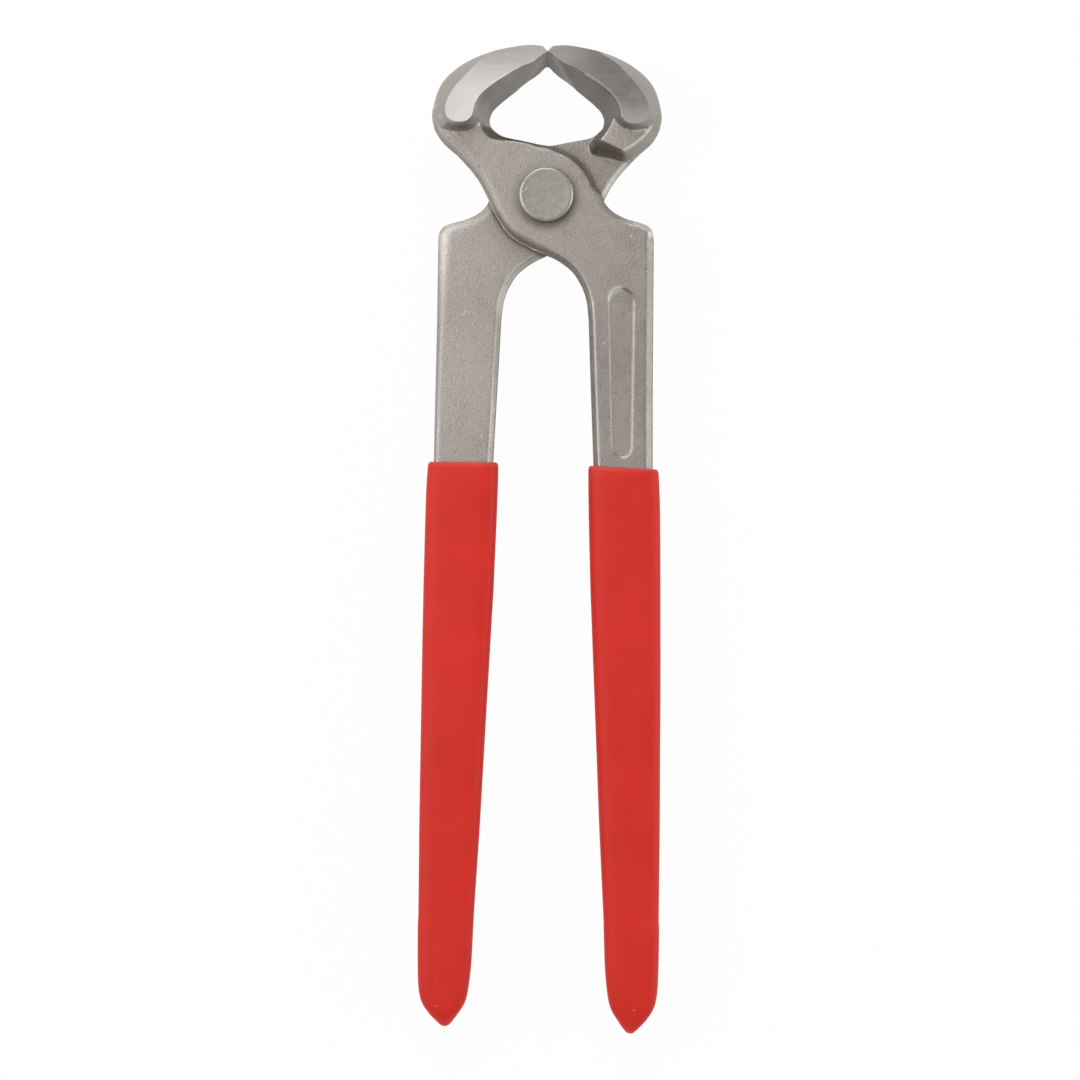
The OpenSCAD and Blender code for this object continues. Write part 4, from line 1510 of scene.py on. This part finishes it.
def fill_coat_tree(make: TreeMaker) -> None:
    """Lays out the nodes of the dipped coat."""
    given = make.node("NodeGroupInput").outputs
    sides, rings = given["Sides"], given["Rings"]
    grid = make.node("GeometryNodeMeshGrid", {"Size X": 1.0, "Size Y": 1.0, "Vertices X": sides,
                                              "Vertices Y": rings})
    place = make.node("ShaderNodeSeparateXYZ", {0: make.node("GeometryNodeInputPosition").outputs[0]})
    side = make.plus(place.outputs[0], 0.5)
    last = make.math("SUBTRACT", rings, 1.0)
    ring = make.math("ROUND", make.times(make.plus(place.outputs[1], 0.5), last))

    def sampled(label: str) -> Socket:
        """Reads one measure of the section that a ring belongs to."""
        named = make.node("GeometryNodeInputNamedAttribute", {"Name": label}, data_type="FLOAT")
        picked = make.node("GeometryNodeSampleIndex", {
            "Geometry": given["Geometry"], "Value": named.outputs[0], "Index": ring},
            data_type="FLOAT", domain="POINT")
        return picked.outputs[0]

    outer, inner, half, power, shear = (sampled(k) for k in ("outer", "inner", "half", "power", "shear"))
    centre = make.node("GeometryNodeSampleIndex", {"Geometry": given["Geometry"], "Index": ring},
                       data_type="FLOAT_VECTOR", domain="POINT")
    make.tree.links.new(make.node("GeometryNodeInputPosition").outputs[0], centre.inputs["Value"])
    middle = make.node("ShaderNodeSeparateXYZ", {0: centre.outputs[0]})
    angle = make.times(side, math.tau)
    bend = make.math("DIVIDE", 2.0, power)

    def squared(wave: str) -> Socket:
        """Squares off a sine or cosine by the section's power."""
        value = make.math(wave, angle)
        size = make.math("POWER", make.math("ABSOLUTE", value), bend)
        return make.times(make.math("SIGN", value), size)

    reach = make.times(make.math("ABSOLUTE", make.math("SUBTRACT", outer, inner)), 0.5)
    off = make.times(squared("COSINE"), reach)
    x = make.plus(make.times(make.plus(outer, inner), 0.5), off)
    y = make.plus(middle.outputs[1], make.times(off, shear))
    z = make.plus(middle.outputs[2], make.times(squared("SINE"), half))
    point = make.node("ShaderNodeCombineXYZ", {0: x, 1: y, 2: z})
    swept = make.node("GeometryNodeSetPosition", {"Geometry": grid.outputs[0], "Position": point.outputs[0]})
    kept = make.node("GeometryNodeStoreNamedAttribute", {"Geometry": swept.outputs[0], "Name": "power",
                                                         "Value": power}, data_type="FLOAT", domain="POINT")
    merged = make.node("GeometryNodeMergeByDistance", {"Geometry": kept.outputs[0], "Distance": 1e-6})
    add_specks(make, given, merged.outputs[0])


def add_specks(make: TreeMaker, given: object, coat: Socket) -> None:
    """Scatters small specks over the outer skin and ends the tree."""
    label = make.node("GeometryNodeInputNamedAttribute", {"Name": "power"}, data_type="FLOAT")
    skin = make.math("LESS_THAN", label.outputs[0], given["Body Power"])
    seeds = make.node("GeometryNodeDistributePointsOnFaces", {"Mesh": coat, "Selection": skin,
                                                              "Density": given["Speck Density"],
                                                              "Seed": given["Seed"]})
    ball = make.node("GeometryNodeMeshIcoSphere", {"Radius": given["Speck Radius"], "Subdivisions": 2})
    size = make.node("FunctionNodeRandomValue", {"Min": (0.4, 0.4, 0.15), "Max": (1.1, 1.0, 0.4),
                                                 "Seed": given["Seed"]}, data_type="FLOAT_VECTOR")
    copies = make.node("GeometryNodeInstanceOnPoints", {
        "Points": seeds.outputs[0], "Instance": ball.outputs[0], "Rotation": seeds.outputs["Rotation"],
        "Scale": size.outputs[0]})
    both = make.node("GeometryNodeJoinGeometry")
    make.tree.links.new(copies.outputs[0], both.inputs[0])
    make.tree.links.new(coat, both.inputs[0])
    real = make.node("GeometryNodeRealizeInstances", {0: both.outputs[0]})
    dressed = make.node("GeometryNodeSetMaterial", {"Geometry": real.outputs[0], "Material": given["Finish"]})
    make.node("NodeGroupOutput", {0: dressed.outputs[0]})


def shader_group(name: str, inputs: tuple, outputs: tuple[str, ...]
                 ) -> tuple[bpy.types.NodeTree, TreeMaker]:
    """Starts a shader node group with named sockets.

    Args:
        name: The group's name.
        inputs: The name, kind and default value of each input.
        outputs: The name of each output, all of them numbers.
    Returns:
        The group and a maker for its nodes.
    """
    group = bpy.data.node_groups.new(name, "ShaderNodeTree")
    for label, kind, value in inputs:
        made = group.interface.new_socket(label, in_out="INPUT", socket_type="NodeSocket" + kind)
        made.default_value = value
    for label in outputs:
        group.interface.new_socket(label, in_out="OUTPUT", socket_type="NodeSocketFloat")
    return group, TreeMaker(group)


@cache
def grain_group() -> bpy.types.NodeTree:
    """Builds the group for blasted grain: a mottled factor, a height and scattered pits."""
    group, make = shader_group(
        "blasted_grain", (("Vector", "Vector", (0, 0, 0)), ("Grain Scale", "Float", 2500.0),
                          ("Mottle Scale", "Float", 160.0), ("Pit Scale", "Float", 420.0),
                          ("Pit Amount", "Float", 0.3)), ("Mottle", "Height", "Pits"))
    given = make.node("NodeGroupInput").outputs
    place, mottle_scale = given["Vector"], given["Mottle Scale"]
    fine = make.noise(place, given["Grain Scale"], 2.0, 0.6)
    broad = make.noise(place, mottle_scale, 4.0, 0.65)
    cells = make.node("ShaderNodeTexVoronoi", {"Vector": place, "Scale": given["Pit Scale"]})
    rare = make.remap(make.noise(place, mottle_scale, 1.0), (0.60, 0.70))
    dot = make.remap(cells.outputs["Distance"], (0.05, 0.22), (1.0, 0.0))
    pits = make.times(make.times(rare, dot), given["Pit Amount"])
    height = make.plus(make.times(fine, 0.55), make.times(broad, 0.45))
    height = make.math("SUBTRACT", height, pits)
    make.node("NodeGroupOutput", {"Mottle": broad, "Height": height, "Pits": pits})
    return group


@cache
def marks_group() -> bpy.types.NodeTree:
    """Builds the group for fine straight marks: scratches in one direction, broken up by noise."""
    group, make = shader_group(
        "fine_marks", (("Vector", "Vector", (0, 0, 0)), ("Stretch", "Vector", (30, 2600, 30)),
                       ("Turn", "Float", 0.0), ("Low", "Float", 0.4), ("High", "Float", 0.6)), ("Marks",))
    given = make.node("NodeGroupInput").outputs
    turn = make.node("ShaderNodeCombineXYZ", {2: given["Turn"]})
    turned = make.node("ShaderNodeMapping", {"Vector": given["Vector"], "Rotation": turn.outputs[0],
                                             "Scale": given["Stretch"]})
    noise = make.noise(turned.outputs[0], 1.0, 3.0, 0.7)
    make.node("NodeGroupOutput", {"Marks": make.remap(noise, (given["Low"], given["High"]))})
    return group


@cache
def nick_group() -> bpy.types.NodeTree:
    """Builds the group for one short nick: a mask that fades out from its middle."""
    group, make = shader_group(
        "nick", (("Vector", "Vector", (0, 0, 0)), ("Place", "Vector", (0, 0, 0)),
                 ("Turn", "Vector", (0, 0, 0)), ("Reach", "Vector", (1, 1, 1))), ("Mask",))
    given = make.node("NodeGroupInput").outputs
    moved = make.node("ShaderNodeMapping", {"Vector": given["Vector"], "Location": given["Place"],
                                            "Rotation": given["Turn"], "Scale": given["Reach"]},
                      vector_type="TEXTURE")
    away = make.node("ShaderNodeVectorMath", {0: moved.outputs[0]}, operation="LENGTH")
    make.node("NodeGroupOutput", {"Mask": make.remap(away.outputs["Value"], (1.0, 0.3))})
    return group


@dataclass(frozen=True)
class Grain:
    """How fine a surface's grain, mottle and pits are, in noise scales, and how much the pits show."""

    fine: float
    mottle: float
    pits: float
    pit_amount: float

    def lay(self, make: TreeMaker, place: object) -> object:
        """Gives the grain's mottle, height and pits at the Object coordinates."""
        return make.node("ShaderNodeGroup", {
            "Vector": place, "Grain Scale": self.fine, "Mottle Scale": self.mottle, "Pit Scale": self.pits,
            "Pit Amount": self.pit_amount}, node_tree=grain_group()).outputs


@dataclass(frozen=True)
class Scratches:
    """Fine straight marks: their stretch, their turn in radians and the noise that they show between."""

    stretch: Triple
    turn: float
    low: float
    high: float

    def lay(self, make: TreeMaker, place: object) -> Socket:
        """Gives the marks at the Object coordinates."""
        return make.node("ShaderNodeGroup", {
            "Vector": place, "Stretch": self.stretch, "Turn": self.turn, "Low": self.low,
            "High": self.high}, node_tree=marks_group()).outputs[0]


class Finish:
    """Shared steps of every finish."""

    name: str
    roughness: Pair
    mottle_span: Pair = (0.3, 0.7)

    def start(self) -> tuple[bpy.types.Material, TreeMaker, Socket]:
        """Starts the material.

        Returns:
            The material, a maker for its nodes and the Object coordinates.
        """
        material = bpy.data.materials.new(self.name)
        material.use_nodes = True
        material.node_tree.nodes.clear()
        make = TreeMaker(material.node_tree)
        return material, make, make.node("ShaderNodeTexCoord").outputs["Object"]

    @staticmethod
    def nicked(make: TreeMaker, place: object, colour: object, nicks: Rows, worn_and_lit: Row) -> Socket:
        """Lays short nicks over a colour.

        Args:
            make: The maker for the material's nodes.
            place: The Object coordinates.
            colour: The colour below.
            nicks: Each nick's x, y, turn in degrees, half length, half width (millimetres) and strength.
            worn_and_lit: The nicks' colour.
        Returns:
            The colour with its nicks.
        """
        for x, y, turn, along, across, strength in nicks:
            nick = make.node("ShaderNodeGroup", {
                "Vector": place, "Place": (x * MM, y * MM, 0.0), "Turn": (0.0, 0.0, math.radians(turn)),
                "Reach": (along * MM, across * MM, 1.0)}, node_tree=nick_group())
            colour = make.mix(make.times(nick.outputs[0], strength), colour, worn_and_lit)
        return colour

    def close(self, make: TreeMaker, colour: Socket, grain: object, lift: bpy.types.Node,
              inputs: dict) -> None:
        """Ends the material with its shader.

        Args:
            make: The maker for the material's nodes.
            colour: The finished colour.
            grain: The outputs of the blasted grain, whose mottle the roughness follows.
            lift: The Bump node that raises the surface.
            inputs: The shader's other inputs by name.
        """
        rough = make.remap(grain["Mottle"], self.mottle_span, self.roughness)
        shader = make.node("ShaderNodeBsdfPrincipled", {
            "Base Color": colour, "Roughness": rough, "Normal": lift.outputs[0], **inputs})
        make.node("ShaderNodeOutputMaterial", {0: shader.outputs[0]})


@dataclass(frozen=True)
class ForgedFinish(Finish):
    """The blasted skin of the forging."""

    name: str = "forged_steel"
    light: Triple = (0.565, 0.528, 0.485)
    dark: Triple = (0.300, 0.272, 0.243)
    worn_and_lit: Triple = (0.84, 0.81, 0.77)
    grime_and_shade: Triple = (0.115, 0.096, 0.076)
    roughness: Pair = (0.42, 0.60)
    grain: Grain = Grain(2300.0, 170.0, 520.0, 0.35)
    scratches: Scratches = Scratches((1500.0, 60.0, 60.0), 0.35, 0.66, 0.80)
    scratch_wear: float = 0.22
    # The skin darkens across the tool: from and to which x, in metres, and by how much
    across_span: Pair = (-0.026, 0.026)
    across_tone: Pair = (0.02, -0.24)
    mottle_gain: float = 0.55
    mottle_base: float = 0.225
    speckle_scale: float = 3100.0
    speckle_gain: float = 1.1
    least_wear: float = 0.35
    soot_and_shade_gain: float = 0.62
    pit_dirt: float = 1.4
    lump_scale: float = 1150.0
    lump_gain: float = 2.2
    bump: float = 0.48
    bump_distance: float = 0.0004
    nicks: Rows = (
        (-20.3, 58.5, 60.0, .62, .22, .8), (-21.0, 57.8, 5.0, .45, .2, .5), (-18.6, 55.2, 75.0, .4, .22, .7),
        (-15.9, 26.6, 75.0, .4, .2, .7), (14.9, 50.5, 40.0, 1.0, .16, .7), (14.4, 35.3, 80.0, 1.3, .14, .35),
        (21.8, 77.7, 20.0, .35, .3, .6), (7.5, 101.3, 84.0, 1.5, .14, .3), (8.7, 101.4, 88.0, 1.6, .12, .22),
        (9.8, 101.2, 92.0, 1.4, .14, .3), (-11.9, 104.6, 60.0, .5, .18, .4), (12.2, 60.3, 85.0, .7, .3, .6))
    rubs: Rows = (
        (10.0, 96.5, -52.0, 1.2, .16, .5), (12.4, 91.6, -76.0, 1.9, .18, .38),
        (11.5, 94.0, -64.0, 1.4, .1, .3), (6.5, 97.6, 20.0, .45, .2, .4), (16.3, 96.9, -20.0, 2.8, .15, .6),
        (6.9, 101.2, 84.0, 1.5, .14, .3), (8.1, 101.3, 86.0, 1.6, .12, .3),
        (10.3, 101.2, 94.0, 1.5, .14, .35))

    def tone(self, make: TreeMaker, place: Socket, mottle: object) -> Socket:
        """Mottles and speckles the skin and darkens it across the tool."""
        x = make.node("ShaderNodeSeparateXYZ", {0: place}).outputs[0]
        across = make.remap(x, self.across_span, self.across_tone)
        speckle = make.math("SUBTRACT", make.noise(place, self.speckle_scale, 2.0), 0.5)
        mottled = make.plus(make.times(mottle, self.mottle_gain), self.mottle_base)
        return make.plus(make.plus(mottled, across), make.times(speckle, self.speckle_gain), clamp=True)

    def material(self) -> bpy.types.Material:
        """Builds the material."""
        material, make, place = self.start()
        grain = self.grain.lay(make, place)
        colour = make.mix(self.tone(make, place, grain["Mottle"]), self.dark, self.light)
        # The bright mark mixes in real wear and painted highlights.
        broken = make.plus(self.least_wear, grain["Mottle"])
        colour = make.mix(make.times(make.mark("wear_and_highlight"), broken, clamp=True), colour, self.worn_and_lit)
        scratched = make.times(self.scratches.lay(make, place), self.scratch_wear)
        colour = make.mix(scratched, colour, self.worn_and_lit)
        colour = self.nicked(make, place, colour, self.nicks, self.worn_and_lit)
        colour = self.nicked(make, place, colour, self.rubs, self.grime_and_shade)
        # The dark mark mixes real grime, painted shade and the dirt in the pits.
        dirt_and_shade = make.plus(make.times(make.mark("soot_and_shade"), self.soot_and_shade_gain),
                         make.times(grain["Pits"], self.pit_dirt), clamp=True)
        colour = make.mix(dirt_and_shade, colour, self.grime_and_shade)
        lumps = make.times(make.noise(place, self.lump_scale, 3.0), make.mark("coarse"))
        height = make.plus(grain["Height"], make.times(lumps, self.lump_gain))
        lift = make.bump(height, self.bump, self.bump_distance)
        self.close(make, colour, grain, lift, {"Metallic": 1.0})
        return material


@dataclass(frozen=True)
class GroundFinish(Finish):
    """The ground faces of the jaws, brushed across the tool, with a painted reflection between a lit and a
    shaded colour.
    """

    name: str = "ground_steel"
    light: Triple = (0.660, 0.634, 0.620)
    dark: Triple = (0.262, 0.246, 0.230)
    worn_and_lit: Triple = (0.88, 0.86, 0.84)
    pitted: Triple = (0.20, 0.18, 0.16)
    roughness: Pair = (0.32, 0.46)
    grain: Grain = Grain(3000.0, 110.0, 380.0, 0.25)
    brushing: Scratches = Scratches((60.0, 5200.0, 400.0), 0.03, 0.30, 0.72)
    brush_gain: float = 0.30
    mottle_gain: float = 0.35
    wear_gain: float = 0.6
    pit_gain: float = 2.0
    grain_height: float = 0.5
    bump: float = 0.10
    bump_distance: float = 0.0003
    lean: float = 0.05

    def material(self) -> bpy.types.Material:
        """Builds the material."""
        material, make, place = self.start()
        brushed = self.brushing.lay(make, place)
        grain = self.grain.lay(make, place)
        streak = make.times(make.math("SUBTRACT", brushed, 0.5), self.brush_gain)
        mottled = make.times(make.math("SUBTRACT", grain["Mottle"], 0.5), self.mottle_gain)
        # Painted reflection: the stored brightness mixes the shaded and the lit colour.
        tone = make.plus(mottled, make.plus(make.mark("painted_reflection"), streak), clamp=True)
        colour = make.mix(tone, self.dark, self.light)
        colour = make.mix(make.times(make.mark("wear_and_highlight"), self.wear_gain), colour, self.worn_and_lit)
        pits = make.times(grain["Pits"], self.pit_gain, clamp=True)
        colour = make.mix(pits, colour, self.pitted)
        height = make.plus(brushed, make.times(grain["Height"], self.grain_height))
        tipped = make.bump(make.times(make.mark("lean"), -self.lean), 1.0, 1.0)
        lift = make.bump(height, self.bump, self.bump_distance)
        make.tree.links.new(tipped.outputs[0], lift.inputs["Normal"])
        self.close(make, colour, grain, lift, {"Metallic": 1.0})
        return material


@dataclass(frozen=True)
class RivetFinish(Finish):
    """The rivet's faced heads."""

    name: str = "rivet_steel"
    light: Triple = (0.425, 0.402, 0.358)
    dark: Triple = (0.345, 0.325, 0.290)
    worn_and_lit: Triple = (0.80, 0.79, 0.77)
    roughness: Pair = (0.36, 0.50)
    grain: Grain = Grain(2400.0, 900.0, 600.0, 0.2)
    scratches: Scratches = Scratches((1300.0, 50.0, 50.0), -0.6, 0.68, 0.82)
    scratch_wear: float = 0.3
    wear_gain: float = 0.6
    nicks: Rows = (
        (-5.1, 89.2, 55.0, .7, .2, .8), (-5.8, 88.4, 65.0, .3, .12, .6), (5.4, 87.4, 80.0, .4, .14, .4))
    bump: float = 0.22
    bump_distance: float = 0.0003

    def material(self) -> bpy.types.Material:
        """Builds the material."""
        material, make, place = self.start()
        grain = self.grain.lay(make, place)
        colour = make.mix(make.remap(grain["Mottle"], self.mottle_span), self.dark, self.light)
        scratched = make.times(self.scratches.lay(make, place), self.scratch_wear)
        colour = make.mix(scratched, colour, self.worn_and_lit)
        broken = make.times(grain["Mottle"], self.wear_gain)
        colour = make.mix(make.times(make.mark("wear_and_highlight"), broken, clamp=True), colour, self.worn_and_lit)
        colour = self.nicked(make, place, colour, self.nicks, self.worn_and_lit)
        lift = make.bump(grain["Height"], self.bump, self.bump_distance)
        self.close(make, colour, grain, lift, {"Metallic": 1.0})
        return material


@dataclass(frozen=True)
class GripFinish(Finish):
    """The soft red plastic that the handles are dipped in."""

    name: str = "grip_plastic"
    bright: Triple = (0.660, 0.016, 0.005)
    deep: Triple = (0.580, 0.010, 0.002)
    rubbed: Triple = (0.80, 0.10, 0.06)
    scuffed: Triple = (0.62, 0.16, 0.12)
    roughness: Pair = (0.50, 0.62)
    grain: Grain = Grain(1900.0, 60.0, 300.0, 0.15)
    wear_gain: float = 0.5
    nicks: Rows = (
        (-25.9, -118.5, 10.0, .6, .25, .7), (-25.6, -111.5, -40.0, .7, .2, .3),
        (24.5, -119.05, 40.0, .5, .4, .7), (-25.2, -103.9, -40.0, .5, .2, .25))
    bump: float = 0.30
    bump_distance: float = 0.0003

    def material(self) -> bpy.types.Material:
        """Builds the material."""
        material, make, place = self.start()
        grain = self.grain.lay(make, place)
        colour = make.mix(make.remap(grain["Mottle"], self.mottle_span), self.deep, self.bright)
        broken = make.times(grain["Mottle"], self.wear_gain)
        colour = make.mix(make.times(make.mark("wear_and_highlight"), broken, clamp=True), colour, self.rubbed)
        colour = self.nicked(make, place, colour, self.nicks, self.scuffed)
        lift = make.bump(grain["Height"], self.bump, self.bump_distance)
        self.close(make, colour, grain, lift, {"IOR": 1.5, "Specular IOR Level": 0.4})
        return material


@dataclass(frozen=True)
class Lamp:
    """A soft square lamp that looks at the tool: its place and side in metres, its power in watts."""

    name: str
    place: Triple
    side: float
    power: float

    def hang(self) -> None:
        """Hangs the lamp and turns it to the tool."""
        light = bpy.data.lights.new(self.name, "AREA")
        light.size, light.energy = self.side, self.power
        hung = bpy.data.objects.new(self.name, light)
        hung.location = self.place
        hung.rotation_euler = (-Vector(self.place)).to_track_quat("-Z", "Y").to_euler()
        bpy.context.scene.collection.objects.link(hung)


@dataclass
class Studio:
    """The plain pale floor, the soft lamps and the camera, in metres."""

    camera_x: float = -0.00064
    camera_y: float = 0.00026
    camera_z: float = 0.7775
    camera_roll: float = 0.6
    lens: float = 99.6
    sensor: float = 36.0
    floor_half: float = 3.0
    floor_gap: float = 1e-4
    floor_lit: float = 0.92
    floor_seen: float = 0.86
    glow_share: float = 0.97
    world_grey: float = 0.50
    lamps: tuple[Lamp, ...] = (
        Lamp("upper_left", (-0.62, 0.20, 1.2), 0.9, 3.6), Lamp("top", (-0.10, 1.05, 0.62), 0.8, 5.0),
        Lamp("left", (-1.0, 0.15, 0.80), 0.7, 3.5), Lamp("right", (1.1, 0.05, 0.40), 0.7, 4.0))

    def floor(self) -> None:
        """Lays the floor just under the tool."""
        mesh = bpy.data.meshes.new("floor")
        half, low = self.floor_half, -self.floor_gap
        corners = [(-half, -half, low), (half, -half, low), (half, half, low), (-half, half, low)]
        mesh.from_pydata(corners, [], [(0, 1, 2, 3)])
        material = bpy.data.materials.new("pale_floor")
        material.use_nodes = True
        material.node_tree.nodes.clear()
        make = TreeMaker(material.node_tree)
        seen = make.node("ShaderNodeLightPath").outputs["Is Camera Ray"]
        grey = make.mix(seen, (self.floor_lit,) * 3, (self.floor_seen,) * 3)
        matt = make.node("ShaderNodeBsdfDiffuse", {"Color": grey})
        glow = make.node("ShaderNodeEmission", {"Color": (1.0, 1.0, 1.0, 1.0), "Strength": 1.0})
        direct = make.times(seen, self.glow_share)
        both = make.node("ShaderNodeMixShader", {0: direct, 1: matt.outputs[0], 2: glow.outputs[0]})
        make.node("ShaderNodeOutputMaterial", {0: both.outputs[0]})
        mesh.materials.append(material)
        laid = bpy.data.objects.new("floor", mesh)
        bpy.context.scene.collection.objects.link(laid)
        laid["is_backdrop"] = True

    def world(self) -> None:
        """Makes the pale surroundings, seen as white."""
        world = bpy.data.worlds.new("surroundings")
        bpy.context.scene.world = world
        world.use_nodes = True
        world.node_tree.nodes.clear()
        make = TreeMaker(world.node_tree)
        lit = make.node("ShaderNodeBackground", {"Color": (self.world_grey,) * 3 + (1.0,), "Strength": 1.0})
        white = make.node("ShaderNodeBackground", {"Color": (1.0, 1.0, 1.0, 1.0), "Strength": 1.0})
        seen = make.node("ShaderNodeLightPath")
        both = make.node("ShaderNodeMixShader", {0: seen.outputs["Is Camera Ray"], 1: lit.outputs[0],
                                                 2: white.outputs[0]})
        make.node("ShaderNodeOutputWorld", {0: both.outputs[0]})

    def camera(self) -> None:
        """Sets the camera over the tool."""
        data = bpy.data.cameras.new("camera")
        data.lens, data.sensor_width = self.lens, self.sensor
        held = bpy.data.objects.new("camera", data)
        held.location = (self.camera_x, self.camera_y, self.camera_z)
        held.rotation_euler = (0.0, 0.0, math.radians(self.camera_roll))
        bpy.context.scene.collection.objects.link(held)
        bpy.context.scene.camera = held

    def build(self) -> None:
        """Sets up the whole studio."""
        bpy.context.scene.view_settings.view_transform = "Standard"
        self.floor()
        self.world()
        for lamp in self.lamps:
            lamp.hang()
        self.camera()


def main() -> None:
    """Builds every piece in order and reports it."""
    logging.basicConfig(level=logging.INFO, format="%(name)s: %(message)s")
    low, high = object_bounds()
    studio = Studio()
    studio.build()
    rivet_low, rivet_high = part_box("pivot_rivet")
    middle = (rivet_low + rivet_high) / 2
    tool = ToolFrame(middle.y / MM, high.z / MM / 2)
    handle = Handle()
    forged, ground = ForgedFinish().material(), GroundFinish().material()
    rivet_steel, plastic = RivetFinish().material(), GripFinish().material()
    forging = Forging(handle)
    # The ground walls take the same painted reflection, with a narrower span between its lit and shaded
    # colours.
    cut = GroundFinish("cut_steel", light=(0.66, 0.62, 0.58), dark=(0.56, 0.52, 0.48))
    steel = (forged, ground, cut.material())
    front = forging.dressed("front_lever_forging", tool, Turn.FRONT, steel)
    rear = forging.dressed("rear_lever_forging", tool, Turn.REAR, steel)
    rivet = Rivet().build(tool, rivet_steel)
    right_grip = Grip("right_grip", Turn.FRONT, handle, mouth=69.0, tip=213.6, slope=-0.045, seed=3)
    left_grip = Grip("left_grip", Turn.REAR, handle, mouth=68.0, tip=212.2, slope=0.0, seed=8)
    built = [(front, "front_half", "front_lever", "forged_steel"),
             (rear, "rear_half", "rear_lever", "forged_steel"),
             (rivet, "rear_half", "pivot_rivet", "rivet_steel"),
             (right_grip.build(tool, plastic), "front_half", "right_grip", "grip_plastic"),
             (left_grip.build(tool, plastic), "rear_half", "left_grip", "grip_plastic")]
    for piece, body, node, slot in built:
        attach(piece, body)
        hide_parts(node)
        LOG.info("%s: %d triangles on %s", piece.name, len(piece.data.polygons), body)
    low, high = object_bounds()


if __name__ == "__main__":
    main()
